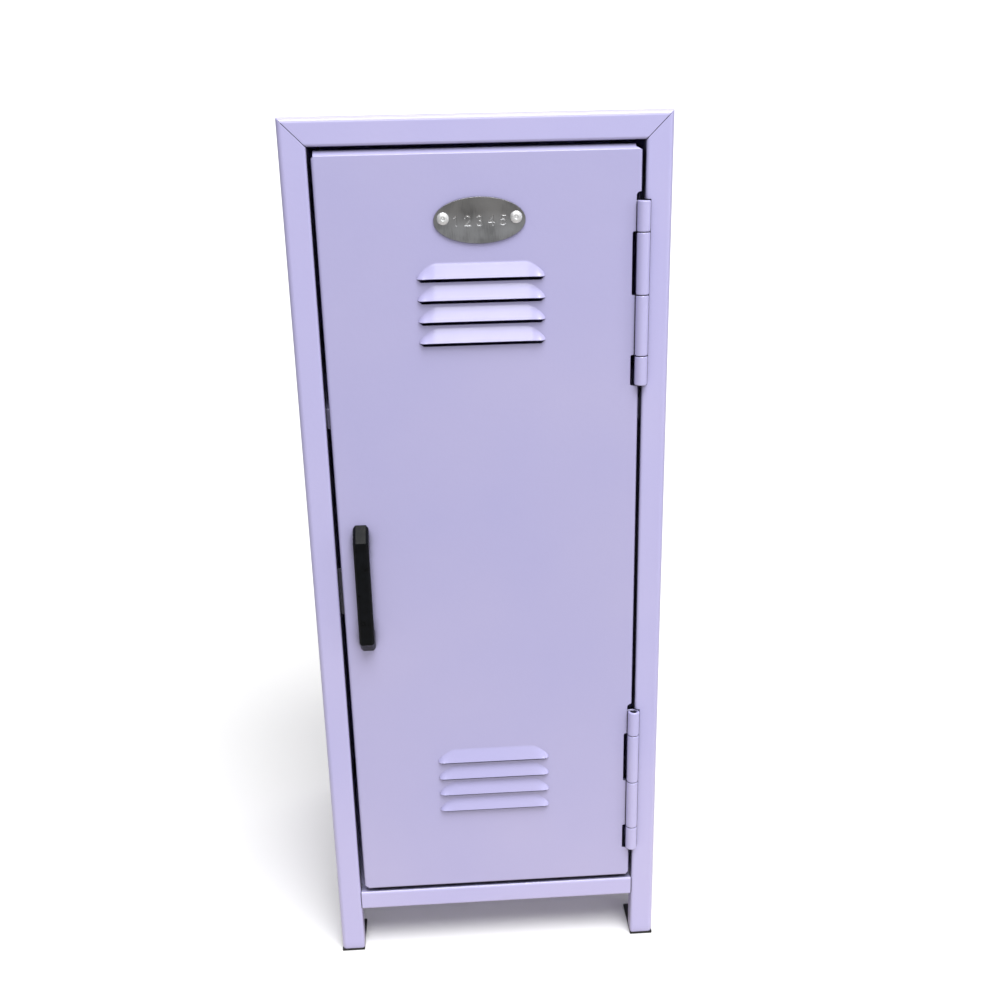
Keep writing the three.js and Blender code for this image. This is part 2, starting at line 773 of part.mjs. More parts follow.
const bracket = piece('catch_bracket', catchBracket(), paint);
bracket.position.z = catchMiddleZ;
cabinet.add(bracket);
const catchGroup = new THREE.Group();
catchGroup.position.set(catchX, 0, catchMiddleZ);
catchGroup.add(piece('catch_housing', catchHousing(), whitePlastic));
catchGroup.add(piece('catch_magnet', catchMagnet(), ferrite));
for (const [name, z] of Object.entries(catchScrewZs)) {
  const screw = piece(`catch_screw_${name}`, panScrew(1.4, 4.5), zincSteel);
  screw.rotation.x = Math.PI / 2;
  screw.position.set(0, catchPlateY + sheet + hair, z - catchMiddleZ);
  catchGroup.add(screw);
}
cabinet.add(catchGroup);

for (const [name, side] of [['left', -1], ['right', 1]]) {
  for (const [place, end] of [['front', -1], ['rear', 1]]) {
    cabinet.add(piece(`foot_${place}_${name}`, foot(side, end), footRubber));
  }
}

export default locker;
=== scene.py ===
import json
import math

import bmesh
import bpy
from mathutils import Matrix, Vector
from mathutils.geometry import tessellate_polygon


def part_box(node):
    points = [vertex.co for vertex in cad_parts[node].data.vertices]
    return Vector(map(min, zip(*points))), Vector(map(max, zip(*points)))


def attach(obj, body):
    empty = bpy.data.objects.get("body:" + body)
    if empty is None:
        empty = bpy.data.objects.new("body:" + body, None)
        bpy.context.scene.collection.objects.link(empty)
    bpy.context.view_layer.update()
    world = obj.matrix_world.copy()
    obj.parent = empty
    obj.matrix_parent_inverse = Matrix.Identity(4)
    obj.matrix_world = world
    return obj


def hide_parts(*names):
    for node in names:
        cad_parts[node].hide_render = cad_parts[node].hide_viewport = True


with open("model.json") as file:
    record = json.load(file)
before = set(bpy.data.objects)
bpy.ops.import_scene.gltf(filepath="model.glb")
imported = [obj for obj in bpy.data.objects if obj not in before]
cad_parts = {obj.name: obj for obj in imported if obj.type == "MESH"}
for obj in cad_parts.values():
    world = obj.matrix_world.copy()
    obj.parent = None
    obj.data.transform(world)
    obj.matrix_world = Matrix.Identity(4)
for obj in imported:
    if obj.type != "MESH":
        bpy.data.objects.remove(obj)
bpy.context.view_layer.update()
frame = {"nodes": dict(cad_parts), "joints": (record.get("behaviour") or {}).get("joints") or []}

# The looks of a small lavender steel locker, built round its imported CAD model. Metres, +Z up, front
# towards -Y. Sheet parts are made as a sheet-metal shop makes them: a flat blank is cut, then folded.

mm = 0.001

# ---- places, from the frame

left_low, left_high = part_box("left_side_panel")
top_low, top_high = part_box("top_panel")
rail_low, rail_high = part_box("bottom_panel")
door_low, door_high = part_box("door_panel")
plate_low, plate_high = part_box("number_plate")
handle_low, handle_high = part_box("door_handle")
shelf_low, shelf_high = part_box("shelf")
foot_low, foot_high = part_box("foot_front_left")
hinge_axis = Vector(frame["joints"][0]["pos_m"])

HALF_WIDTH = -left_low.x
HEIGHT = top_high.z
FRONT = left_low.y
BACK = left_high.y
LEG_BOTTOM = left_low.z
LEG_HEIGHT = rail_low.z
RAIL_TOP = rail_high.z
OPENING_HALF = -left_high.x
OPENING_TOP = top_low.z
DOOR_HALF = door_high.x
DOOR_TOP = door_high.z
DOOR_BOTTOM = door_low.z + 0.7 * mm
DOOR_DEPTH = door_high.y - FRONT

# ---- sizes of the sheet work

SHEET = 0.8 * mm
BEND = 3 * mm
TIGHT = 1.6 * mm
HAIR = 0.2 * mm
RETURN_DEPTH = 9 * mm
REAR_FLANGE = 12 * mm
LEG_WIDTH = foot_high.y - foot_low.y
EDGE_ROUND = 0.12 * mm
SEAM = 0.35 * mm
ARC_STEPS = 8
RIM_ROWS = 4


# ---- folding a flat blank

class Fold:
    """A bent line seen edge on, measured along the sheet's outer face: straight runs joined by arcs."""

    def __init__(self, corners):
        points = [Vector(c[:2]) for c in corners]
        radii = [c[2] if len(c) > 2 else 0 for c in corners]
        self.runs = []
        self.length = 0
        here = points[0]
        for i in range(1, len(points)):
            heading = (points[i] - points[i - 1]).normalized()
            if i == len(points) - 1:
                self.add_line(here, heading, (points[i] - here).length)
                break
            onward = (points[i + 1] - points[i]).normalized()
            turn = heading.angle_signed(onward)
            cut = radii[i] * math.tan(abs(turn) / 2)
            self.add_line(here, heading, (points[i] - here).length - cut)
            self.add_arc(points[i] - heading * cut, heading, radii[i], turn)
            here = points[i] + onward * cut

    def add_line(self, start, heading, length):
        self.runs.append(("line", self.length, start, heading, 0, 0))
        self.length += length

    def add_arc(self, start, heading, radius, turn):
        """turn is clockwise when positive, as Vector.angle_signed gives it."""
        self.runs.append(("arc", self.length, start, heading, radius, turn))
        self.length += radius * abs(turn)

    def start_of(self, index):
        return self.runs[index][1]

    def at(self, s):
        """(point, heading) in the plane of the section."""
        passed = [run for run in self.runs[1:] if run[1] <= s + 1e-9]
        kind, begin, start, heading, radius, turn = (self.runs[:1] + passed)[-1]
        along = s - begin
        if kind == "line":
            return start + heading * along, heading
        sign = 1 if turn > 0 else -1
        angle = along / radius
        side = Vector((heading.y, -heading.x)) * sign
        centre = start + side * radius
        point = centre - side * radius * math.cos(angle) + heading * radius * math.sin(angle)
        return point, heading * math.cos(angle) + side * math.sin(angle)

    def cuts(self):
        """Distances where the blank is scored, so that it can bend."""
        places = []
        for kind, begin, start, heading, radius, turn in self.runs:
            if kind == "arc":
                steps = max(ARC_STEPS, round(abs(turn) / math.radians(12)))
                places += [begin + radius * abs(turn) * k / steps for k in range(steps + 1)]
        return places

    def stops(self):
        return [0.0, *self.cuts(), self.length]


def flat_blank(outline, holes=(), s_cuts=(), t_cuts=(), pressings=()):
    """A flat sheet in (s, t) as a bmesh, cut to an outline with holes, and scored along the cuts. Each
    pressing is a list of rows of (s, t, how far it stands proud), and fills one of the holes."""
    loops = [[Vector((s / mm, t / mm, 0)) for s, t in loop] for loop in [outline, *holes]]
    bm = bmesh.new()
    corners = [bm.verts.new(p) for loop in loops for p in loop]
    for triangle in tessellate_polygon(loops):
        bm.faces.new([corners[i] for i in triangle])
    bmesh.ops.beautify_fill(bm, faces=bm.faces[:], edges=[e for e in bm.edges if len(e.link_faces) == 2])
    for rows in pressings:
        add_pressing(bm, [[Vector(p) / mm for p in row] for row in rows])
    bmesh.ops.remove_doubles(bm, verts=bm.verts[:], dist=1e-3)
    for face in bm.faces:
        face.normal_update()
        if face.normal.z < 0:
            face.normal_flip()
    for places, direction in ((s_cuts, Vector((1, 0, 0))), (t_cuts, Vector((0, 1, 0)))):
        for place in places:
            everything = bm.verts[:] + bm.edges[:] + bm.faces[:]
            spot = direction * place / mm
            bmesh.ops.bisect_plane(bm, geom=everything, dist=1e-4, plane_co=spot, plane_no=direction)
    bm.normal_update()
    bm.verts.index_update()
    return bm


def add_pressing(bm, rows):
    """Adds a grid of points as faces. Rows may shrink to a point at their ends."""
    grid = [[bm.verts.new(p) for p in row] for row in rows]
    for upper, lower in zip(grid, grid[1:]):
        for i in range(len(upper) - 1):
            bm.faces.new([upper[i], upper[i + 1], lower[i + 1], lower[i]])


def thickened(points, normals, faces, thickness, rounding=EDGE_ROUND):
    """Grows a surface inwards to a closed sheet with rounded edges. Returns points, normals and faces."""
    used = set()
    for face in faces:
        used.update(zip(face, face[1:] + face[:1]))
    border = [(a, b) for a, b in used if (b, a) not in used]
    border.sort()
    outward = {}
    for a, b in border:
        along = (points[b] - points[a]).normalized()
        for end in (a, b):
            outward[end] = outward.get(end, Vector()) + along.cross(normals[end])
    count = len(points)
    all_points = list(points) + [p - n * thickness for p, n in zip(points, normals)]
    all_normals = list(normals) + [-n for n in normals]
    all_faces = [list(f) for f in faces] + [[i + count for i in reversed(f)] for f in faces]
    rows = {}
    for vertex, direction in outward.items():
        away = direction.normalized() if direction.length > 0.3 else Vector()
        row = [vertex]
        for k in range(1, RIM_ROWS):
            angle = math.pi * k / RIM_ROWS
            normal = normals[vertex]
            depth = thickness * (1 - math.cos(angle)) / 2
            all_points.append(points[vertex] - normal * depth + away * rounding * math.sin(angle))
            turned = normal * math.cos(angle) + away * math.sin(angle)
            all_normals.append(turned.normalized() if turned.length > 0.1 else normal)
            row.append(len(all_points) - 1)
        row.append(vertex + count)
        rows[vertex] = row
    for a, b in border:
        for k in range(RIM_ROWS):
            all_faces.append([rows[b][k], rows[a][k], rows[a][k + 1], rows[b][k + 1]])
    return all_points, all_normals, all_faces


def piece_from(name, points, faces, normals=None):
    mesh = bpy.data.meshes.new(name)
    mesh.from_pydata([tuple(p) for p in points], [], faces)
    mesh.update()
    mesh.shade_smooth()
    if normals:
        mesh.normals_split_custom_set_from_vertices([tuple(n) for n in normals])
    obj = bpy.data.objects.new(name, mesh)
    bpy.context.scene.collection.objects.link(obj)
    return obj


def wrapped(t, half, radius):
    """Where a blank's t lands when both its sides are folded back: (across, depth, tilt)."""
    flat = half - radius
    over = abs(t) - flat
    if over <= 0:
        return t, 0, 0
    sign = 1 if t > 0 else -1
    arc = radius * math.pi / 2
    if over < arc:
        angle = over / radius
        return sign * (flat + radius * math.sin(angle)), radius * (1 - math.cos(angle)), sign * angle
    return sign * half, radius + over - arc, sign * math.pi / 2


def folded_sheet(name, fold, place, outline, holes=(), thickness=SHEET, rounding=EDGE_ROUND,
                 sides=None, pressings=()):
    """Cuts a blank in (s, t), folds it along s, and thickens it. place(section point, t) gives a point in
    space, and the sheet lies to the right of the fold's heading. With sides=(half, radius), the parts
    beyond t = half are folded back too."""
    half, radius = sides or (1, 0)
    t_cuts = []
    if sides:
        turns = [half - radius + radius * math.pi / 2 * k / ARC_STEPS for k in range(ARC_STEPS + 1)]
        t_cuts = [-t for t in turns] + turns
    bm = flat_blank(outline, holes, fold.cuts(), t_cuts, pressings)
    points, normals = [], []
    for vertex in bm.verts:
        s, t, proud = vertex.co * mm
        section, heading = fold.at(s)
        outward = Vector((-heading.y, heading.x))
        across, depth, tilt = wrapped(t, half, radius)
        here = place(section + outward * (proud - depth), across)
        along_s = place(section + heading, 0) - place(section, 0)
        along_t = place(section, 1) - place(section, 0)
        out = place(section + outward, 0) - place(section, 0)
        lean = vertex.normal if proud else Vector((0, 0, 1))
        normal = along_s * lean.x + along_t * lean.y + out * lean.z
        if tilt:
            normal = out * math.cos(tilt) + along_t * math.sin(tilt)
        points.append(here)
        normals.append(normal.normalized())
    faces = [[v.index for v in face.verts] for face in bm.faces]
    bm.free()
    if facing(points, faces[0]).dot(normals[faces[0][0]]) < 0:
        faces = [face[::-1] for face in faces]
    points, normals, faces = thickened(points, normals, faces, thickness, rounding)
    return piece_from(name, points, faces, normals)


def facing(points, face):
    """The direction a flat face looks, by its area."""
    total = Vector()
    for a, b in zip(face, face[1:] + face[:1]):
        total += points[a].cross(points[b])
    return total


def rounded_outline(corners):
    """A closed outline through (s, t, radius) corners, with arcs where the radius isn't 0."""
    outline = []
    for i, (s, t, radius) in enumerate(corners):
        corner = Vector((s, t))
        if radius == 0:
            outline.append((s, t))
            continue
        before = (Vector(corners[i - 1][:2]) - corner).normalized()
        after = (Vector(corners[(i + 1) % len(corners)][:2]) - corner).normalized()
        half = before.angle(after) / 2
        centre = corner + (before + after).normalized() * radius / math.sin(half)
        start = corner + before * radius / math.tan(half) - centre
        turn = start.angle_signed(corner + after * radius / math.tan(half) - centre)
        for k in range(ARC_STEPS + 1):
            angle = -turn * k / ARC_STEPS
            spoke = Matrix.Rotation(angle, 2) @ start
            outline.append(tuple(centre + spoke))
    return outline


def circle(centre, radius, steps=32):
    angles = [2 * math.pi * k / steps for k in range(steps)]
    return [(centre[0] + radius * math.cos(a), centre[1] + radius * math.sin(a)) for a in angles]


def ringed(name, rings):
    """A closed body through rings of points, with flat caps. A ring may also be a single point."""
    points, numbered = [], []
    for ring in rings:
        numbered.append(list(range(len(points), len(points) + len(ring))))
        points += ring
    faces = [ring for ring in (numbered[0], numbered[-1]) if len(ring) > 2]
    for low, high in zip(numbered, numbered[1:]):
        for k in range(max(len(low), len(high))):
            near = [low[k % len(low)], low[(k + 1) % len(low)]]
            far = [high[(k + 1) % len(high)], high[k % len(high)]]
            faces.append(list(dict.fromkeys(near + far)))
    obj = piece_from(name, points, faces)
    bm = bmesh.new()
    bm.from_mesh(obj.data)
    bmesh.ops.recalc_face_normals(bm, faces=bm.faces[:])
    bm.to_mesh(obj.data)
    bm.free()
    return obj


def spokes(across, beside, steps):
    angles = [2 * math.pi * k / steps for k in range(steps)]
    return [across * math.cos(a) + beside * math.sin(a) for a in angles]


def lathe(name, profile, centre, axis, steps=48):
    """A closed body of revolution from (radius, height) pairs that start and end on the axis."""
    axis = Vector(axis).normalized()
    across = axis.orthogonal().normalized()
    directions = spokes(across, axis.cross(across), steps)
    rings = []
    for radius, height in profile:
        used = directions if radius else directions[:1]
        rings.append([Vector(centre) + axis * height + spoke * radius for spoke in used])
    return smoothed(ringed(name, rings), 35)


def prism(name, outline, place, depth):
    """A straight prism: place(u, v, w) puts the outline's (u, v) at w = 0 and at w = depth."""
    return ringed(name, [[place(u, v, w) for u, v in outline] for w in (0, depth)])


def sweep(name, path, radii, steps=20):
    """A round rod along a path that lies in an xz plane, with its own radius at each point."""
    rings = []
    for i, spot in enumerate(path):
        ahead = (path[min(i + 1, len(path) - 1)] - path[max(i - 1, 0)]).normalized()
        across = Vector((0, 1, 0))
        rings.append([spot + spoke * radii[i] for spoke in spokes(across, ahead.cross(across), steps)])
    return ringed(name, rings)


def smoothed(obj, angle):
    """Shades an object smooth, but for edges sharper than the angle in degrees."""
    obj.data.shade_smooth()
    obj.data.set_sharp_from_angle(angle=math.radians(angle))
    return obj


# ---- materials

class Finish:
    """A material in the making: noises, ramps and bumps that feed one Principled shader."""

    def __init__(self, name):
        self.material = bpy.data.materials.new(name)
        self.material.use_nodes = True
        self.nodes = self.material.node_tree.nodes
        self.links = self.material.node_tree.links
        self.shader = self.nodes["Principled BSDF"]

    def feed(self, name, value):
        """Sets one of the shader's inputs to a number, or links another node's output to it."""
        socket = self.shader.inputs[name]
        if isinstance(value, (int, float)):
            socket.default_value = value
        else:
            self.links.new(value, socket)

    def noise(self, scale, detail=2.0, stretch=(1, 1, 1)):
        """Noise in the object's own metres: scale is in features per metre."""
        coordinates = self.nodes.new("ShaderNodeTexCoord")
        mapping = self.nodes.new("ShaderNodeMapping")
        mapping.inputs["Scale"].default_value = stretch
        texture = self.nodes.new("ShaderNodeTexNoise")
        texture.inputs["Scale"].default_value = scale
        texture.inputs["Detail"].default_value = detail
        self.links.new(coordinates.outputs["Object"], mapping.inputs["Vector"])
        self.links.new(mapping.outputs["Vector"], texture.inputs["Vector"])
        return texture.outputs["Fac"]

    def ramp(self, value, low, high, start=0.3, end=0.7):
        """Maps a value between two colours or two greys."""
        node = self.nodes.new("ShaderNodeValToRGB")
        for element, position, shade in zip(node.color_ramp.elements, (start, end), (low, high)):
            element.position = position
            element.color = (*shade, 1) if isinstance(shade, tuple) else (shade, shade, shade, 1)
        self.links.new(value, node.inputs["Fac"])
        return node.outputs["Color"]

    def combined(self, kind, operation, first, second):
        """Two values put together by a maths node of the given kind."""
        node = self.nodes.new(kind)
        node.operation = operation
        self.links.new(first, node.inputs[0])
        self.links.new(second, node.inputs[1])
        return node.outputs[0]

    def bump(self, height, distance, strength=1.0, under=None):
        node = self.nodes.new("ShaderNodeBump")
        node.inputs["Distance"].default_value = distance
        node.inputs["Strength"].default_value = strength
        self.links.new(height, node.inputs["Height"])
        if under:
            self.links.new(under, node.inputs["Normal"])
        return node.outputs["Normal"]


def powder_coat(name, tone):
    """Smooth satin lavender paint with a faint orange peel, and painted shade that darkens its colour in the
    narrowest gaps.
    """
    coat = Finish(name)
    bluer = tuple(tone * share for share in (0.52, 0.50, 0.83))
    pinker = tuple(tone * share for share in (0.56, 0.53, 0.835))
    blotches = coat.ramp(coat.noise(9), bluer, pinker)
    # Painted shade: ambient occlusion within 7 mm darkens the base colour nearly to black in narrow gaps and
    # recesses.
    painted_gap_shade = coat.nodes.new("ShaderNodeAmbientOcclusion")
    painted_gap_shade.samples = 4
    painted_gap_shade.inputs["Distance"].default_value = 7 * mm
    shade = coat.ramp(painted_gap_shade.outputs["AO"], 0.03, 1.0, 0.3, 0.8)
    coat.feed("Base Color", coat.combined("ShaderNodeVectorMath", "MULTIPLY", blotches, shade))
    coat.feed("Roughness", coat.ramp(coat.noise(60), 0.34, 0.42))
    peel = coat.bump(coat.noise(420, detail=1.0), 0.06 * mm, 0.5)
    coat.feed("Normal", coat.bump(coat.noise(2600), 0.012 * mm, 0.5, under=peel))
    coat.feed("Coat Weight", 0.5)
    coat.feed("Coat Roughness", 0.12)
    return coat.material


def brushed_steel():
    """Steel brushed up and down, with soft clouds, and a painted reflection: brighter and bluer towards the
    bottom, darker and warmer towards the top.
    """
    steel = Finish("brushed_plate_steel")
    lines = steel.noise(150, detail=3.0, stretch=(12, 1, 1.5))
    clouds = steel.noise(90)
    streaks = steel.combined("ShaderNodeMath", "ADD", lines, clouds)
    coordinates = steel.nodes.new("ShaderNodeTexCoord")
    height = steel.nodes.new("ShaderNodeSeparateXYZ")
    steel.links.new(coordinates.outputs["Generated"], height.inputs["Vector"])
    # Painted reflection: the colour runs from a bright bluish grey at the bottom to a darker warm grey at the
    # top.
    painted_reflection = steel.ramp(height.outputs["Z"], (0.50, 0.51, 0.53), (0.34, 0.335, 0.335))
    tint = steel.ramp(streaks, 0.88, 1.08, 0.7, 1.3)
    steel.feed("Base Color", steel.combined("ShaderNodeVectorMath", "MULTIPLY", painted_reflection, tint))
    steel.feed("Roughness", steel.ramp(clouds, 0.34, 0.5))
    steel.feed("Normal", steel.bump(lines, 0.02 * mm))
    steel.feed("Metallic", 1.0)
    steel.feed("Anisotropic", 0.5)
    return steel.material


def black_plastic():
    plastic = Finish("black_satin_plastic")
    scuffs = plastic.noise(240, detail=5.0)
    plastic.feed("Base Color", plastic.ramp(scuffs, (0.0025, 0.003, 0.0035), (0.005, 0.006, 0.008)))
    plastic.feed("Roughness", plastic.ramp(scuffs, 0.26, 0.38))
    plastic.feed("Normal", plastic.bump(plastic.noise(5000), 0.015 * mm))
    plastic.feed("Specular IOR Level", 0.1)
    return plastic.material


def mottled(name, dark, light, roughness, scales, relief, metallic=0.0, detail=2.0):
    """Colour, roughness and relief that each vary with a noise of their own scale, per metre."""
    finish = Finish(name)
    finish.feed("Base Color", finish.ramp(finish.noise(scales[0], detail), dark, light))
    finish.feed("Roughness", finish.ramp(finish.noise(scales[1]), *roughness))
    finish.feed("Normal", finish.bump(finish.noise(scales[2]), relief))
    finish.feed("Metallic", metallic)
    return finish.material


def moulded(name, dark, light, roughness, grain):
    """A plain moulded or sintered material with a fine grain of the given size."""
    scales = (0.3 / grain, 0.1 / grain, 1 / grain)
    return mottled(name, dark, light, (roughness - 0.08, roughness + 0.08), scales, grain / 12)


PAINT = powder_coat("lavender_powder_coat", 1.0)
# The door gets a darker copy of the same coat: painted shade, for the door face looking darker than the
# stiles around it.
SHADED_DOOR_PAINT = powder_coat("door_powder_coat_painted_shade", 0.895)
PLATE_STEEL = brushed_steel()
ALUMINIUM = mottled("rivet_aluminium", (0.78, 0.79, 0.80), (0.90, 0.90, 0.91), (0.34, 0.5),
                    (500, 900, 1500), 0.02 * mm, metallic=0.6)
ZINC = mottled("zinc_plated_steel", (0.50, 0.51, 0.50), (0.66, 0.67, 0.69), (0.28, 0.45),
               (260, 700, 3000), 0.01 * mm, metallic=1.0, detail=4.0)
BLACK = black_plastic()
WHITE_PLASTIC = moulded("off_white_plastic", (0.74, 0.73, 0.69), (0.80, 0.79, 0.75), 0.45, 0.3 * mm)
FERRITE = moulded("ferrite", (0.022, 0.022, 0.024), (0.05, 0.05, 0.052), 0.6, 0.15 * mm)
RUBBER = moulded("foot_rubber", (0.012, 0.012, 0.013), (0.02, 0.02, 0.021), 0.7, 0.2 * mm)


def paint(obj, material):
    obj.data.materials.clear()
    obj.data.materials.append(material)


def dress(obj, material, body, node):
    """Gives a new piece its material, the body it rides on, and the CAD node it stands for."""
    paint(obj, material)
    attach(obj, body)
    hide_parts(node)


# ---- cabinet shell

def rectangle(s0, s1, t0, t1):
    return [(s0, t0), (s1, t0), (s1, t1), (s0, t1)]


def hinge_span(hinge):
    """Bottom and top of a hinge's barrel."""
    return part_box(f"{hinge}_hinge_frame_leaf")[0].z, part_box(f"{hinge}_hinge_door_leaf")[1].z


HINGES = ("lower", "upper")
BARREL_RADIUS = hinge_axis.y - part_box("upper_hinge_frame_leaf")[0].y
BARREL_GAP = 0.35 * mm
NOTCH_PAST = 0.4 * mm
NOTCH_DEPTH = 5 * mm
PIN_SUNK = 2 * mm
ARCH_RADIUS = 8 * mm


def side_panel(side):
    """A side wall with its stile, its return, its rear flange, and a leg at each end."""
    fold = Fold([
        (HALF_WIDTH - REAR_FLANGE, BACK),
        (HALF_WIDTH, BACK, TIGHT),
        (HALF_WIDTH, FRONT, BEND),
        (OPENING_HALF, FRONT, TIGHT),
        (OPENING_HALF, FRONT + RETURN_DEPTH),
    ])

    def place(section, t):
        return Vector((side * section.x, section.y, t))

    arch_rear = fold.start_of(2) - TIGHT + LEG_WIDTH
    arch_front = fold.start_of(3) + BEND - LEG_WIDTH
    low = LEG_BOTTOM + EDGE_ROUND
    arch = rounded_outline([
        (arch_rear, low, 0), (arch_rear, LEG_HEIGHT, ARCH_RADIUS),
        (arch_front, LEG_HEIGHT, ARCH_RADIUS), (arch_front, low, 0),
    ])
    tops = [(s, HEIGHT - SEAM - HALF_WIDTH + fold.at(s)[0].x) for s in fold.stops()]
    outline = [(0, low), *arch, (fold.length, low), *reversed(tops)]
    holes = []
    if side > 0:
        beside_barrel = hinge_axis.x + BARREL_RADIUS + BARREL_GAP
        notch_start = fold.start_of(5) + OPENING_HALF + TIGHT - beside_barrel
        notch_end = fold.length - RETURN_DEPTH + NOTCH_DEPTH
        for hinge in HINGES:
            z0, z1 = hinge_span(hinge)
            holes.append(rectangle(notch_start, notch_end, z0 - HAIR, z1 + HAIR))
    word = "right" if side > 0 else "left"
    panel = folded_sheet(f"{word}_side_wall", fold, place, outline, holes)
    dress(panel, PAINT, "cabinet", f"{word}_side_panel")


def mirrored(right):
    """A whole outline from its right half, which is given as (s, t) with t to the right of the middle."""
    return right + [(s, -t) for s, t in reversed(right)]


def upright_section(section, t):
    """Places a section drawn in (y, z) at x = t."""
    return Vector((t, section.x, section.y))


def level_section(section, t):
    """Places a section drawn in (x, y) at z = t."""
    return Vector((section.x, section.y, t))


def top_panel():
    fold = Fold([
        (FRONT + RETURN_DEPTH, OPENING_TOP),
        (FRONT, OPENING_TOP, TIGHT),
        (FRONT, HEIGHT, BEND),
        (BACK, HEIGHT, TIGHT),
        (BACK, HEIGHT - REAR_FLANGE),
    ])
    right = [(s, HALF_WIDTH - SEAM - HEIGHT + fold.at(s)[0].y) for s in fold.stops()]
    panel = folded_sheet("top_sheet", fold, upright_section, mirrored(right))
    dress(panel, PAINT, "cabinet", "top_panel")


def bottom_panel():
    """The floor, with the bottom rail folded down in front and a weld flange on the other three sides."""
    rail_y = rail_low.y
    flange_depth = 8 * mm
    relief = 1 * mm
    back_clearance = 3 * mm
    fold = Fold([
        (rail_y + flange_depth, LEG_HEIGHT),
        (rail_y, LEG_HEIGHT, TIGHT),
        (rail_y, RAIL_TOP, TIGHT),
        (rail_high.y, RAIL_TOP, TIGHT),
        (rail_high.y, LEG_HEIGHT),
    ])
    narrow = OPENING_HALF - HAIR - EDGE_ROUND
    wide = rail_high.x
    flat = wide - TIGHT
    flange = flat + TIGHT * math.pi / 2 + flange_depth
    floor = fold.start_of(4)
    behind_frame = floor + FRONT + RETURN_DEPTH + HAIR - rail_y - TIGHT
    before_back = fold.start_of(5) - back_clearance
    right = [
        (0, narrow), (behind_frame, narrow), (behind_frame, flat), (behind_frame + relief, flat),
        (behind_frame + relief, flange), (before_back, flange), (before_back, flat),
        (fold.length, flat),
    ]
    panel = folded_sheet("floor_sheet", fold, upright_section, mirrored(right), sides=(wide, TIGHT))
    dress(panel, PAINT, "cabinet", "bottom_panel")


def back_panel():
    low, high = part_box("back_panel")
    fold = Fold([(low.x, high.y), (high.x, high.y)])
    outline = rectangle(EDGE_ROUND, fold.length - EDGE_ROUND, low.z + EDGE_ROUND, high.z - EDGE_ROUND)
    panel = folded_sheet("back_sheet", fold, level_section, outline)
    dress(panel, PAINT, "cabinet", "back_panel")


# ---- shelf, hook and catch

SHELF_RIVETS = [f"{side}_{place}" for side in ("left", "right") for place in ("front", "rear")]
RIVET_HOLE = 1.75 * mm
BOLT_HOLE = 2.2 * mm


def middle(node):
    low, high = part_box(node)
    return (low + high) / 2


def face_of(node, axis):
    """The middle of the side of a node's box that looks along an axis."""
    low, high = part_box(node)
    axis = Vector(axis)
    return middle(node) + axis * abs((high - low).dot(axis)) / 2


def shelf_panel():
    fold = Fold([
        (shelf_low.y, shelf_low.z),
        (shelf_low.y, shelf_high.z, TIGHT),
        (shelf_high.y, shelf_high.z, TIGHT),
        (shelf_high.y, shelf_low.z),
    ])
    top = fold.start_of(2) - shelf_low.y - TIGHT
    edge = shelf_high.x - EDGE_ROUND
    holes = [circle((top + middle("hook_bolt").y, 0), BOLT_HOLE)]
    for word in SHELF_RIVETS:
        centre = middle(f"shelf_rivet_{word}")
        holes.append(circle((top + centre.y, centre.x), RIVET_HOLE))
    panel = folded_sheet("shelf_sheet", fold, upright_section, rectangle(0, fold.length, -edge, edge), holes)
    dress(panel, PAINT, "cabinet", "shelf")


def shelf_support(word):
    low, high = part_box(f"shelf_support_{word}")
    side = 1 if word == "right" else -1
    near, far = sorted((abs(low.x), abs(high.x)))
    fold = Fold([(near, high.z), (far, high.z, TIGHT), (far, low.z)])

    def place(section, t):
        return Vector((side * section.x, t, section.y))

    outline = rectangle(EDGE_ROUND, fold.length - EDGE_ROUND, low.y + EDGE_ROUND, high.y - EDGE_ROUND)
    holes = []
    for end in ("front", "rear"):
        centre = middle(f"shelf_rivet_{word}_{end}")
        holes.append(circle((abs(centre.x) - near, centre.y), RIVET_HOLE))
    angle = folded_sheet(f"shelf_angle_{word}", fold, place, outline, holes, thickness=1.2 * mm)
    dress(angle, PAINT, "cabinet", f"shelf_support_{word}")


def blind_rivet(name, node, axis, grip, body):
    """A set blind rivet: domed head with the snapped mandrel in its eye, and the bulb behind the sheets."""
    head_height = 1.3 * mm
    bulb = [(0, -2.8), (1.1, -2.8), (1.5, -2.6), (2.1, -2.2), (2.3, -1.6), (2.2, -0.9), (1.9, -0.4),
            (1.6, -0.1)]
    head = [(1.6, 0), (3.1, 0), (3.175, 0.08), (3.17, 0.25), (3.0, 0.5), (2.6, 0.85), (2.1, 1.1),
            (1.6, 1.22), (1.2, 1.25), (1.0, 1.2), (0.92, 1.05), (0.9, 0.7), (0.8, 0.66), (0.72, 0.72),
            (0.45, 0.86), (0, 0.9)]
    profile = [(r * mm, z * mm - grip) for r, z in bulb] + [(r * mm, z * mm) for r, z in head]
    head_at = face_of(node, axis) - Vector(axis) * head_height
    dress(lathe(name, profile, head_at, axis), ALUMINIUM, body, node)


def boolean(obj, other, operation):
    """Joins other to obj or cuts it away, and removes other."""
    modifier = obj.modifiers.new("cut", "BOOLEAN")
    modifier.operation = operation
    modifier.solver = "EXACT"
    modifier.object = other
    settle(obj)
    bpy.data.objects.remove(other)
    return obj


def settle(obj):
    """Applies an object's modifiers."""
    bpy.context.view_layer.update()
    evaluated = obj.evaluated_get(bpy.context.evaluated_depsgraph_get())
    mesh = bpy.data.meshes.new_from_object(evaluated)
    old = obj.data
    obj.modifiers.clear()
    obj.data = mesh
    bpy.data.meshes.remove(old)
    mesh.name = obj.name
    return obj


def add_bevel(obj, width, angle):
    bevel = obj.modifiers.new("round", "BEVEL")
    bevel.width = width
    bevel.segments = 3
    bevel.limit_method = "ANGLE"
    bevel.angle_limit = math.radians(angle)


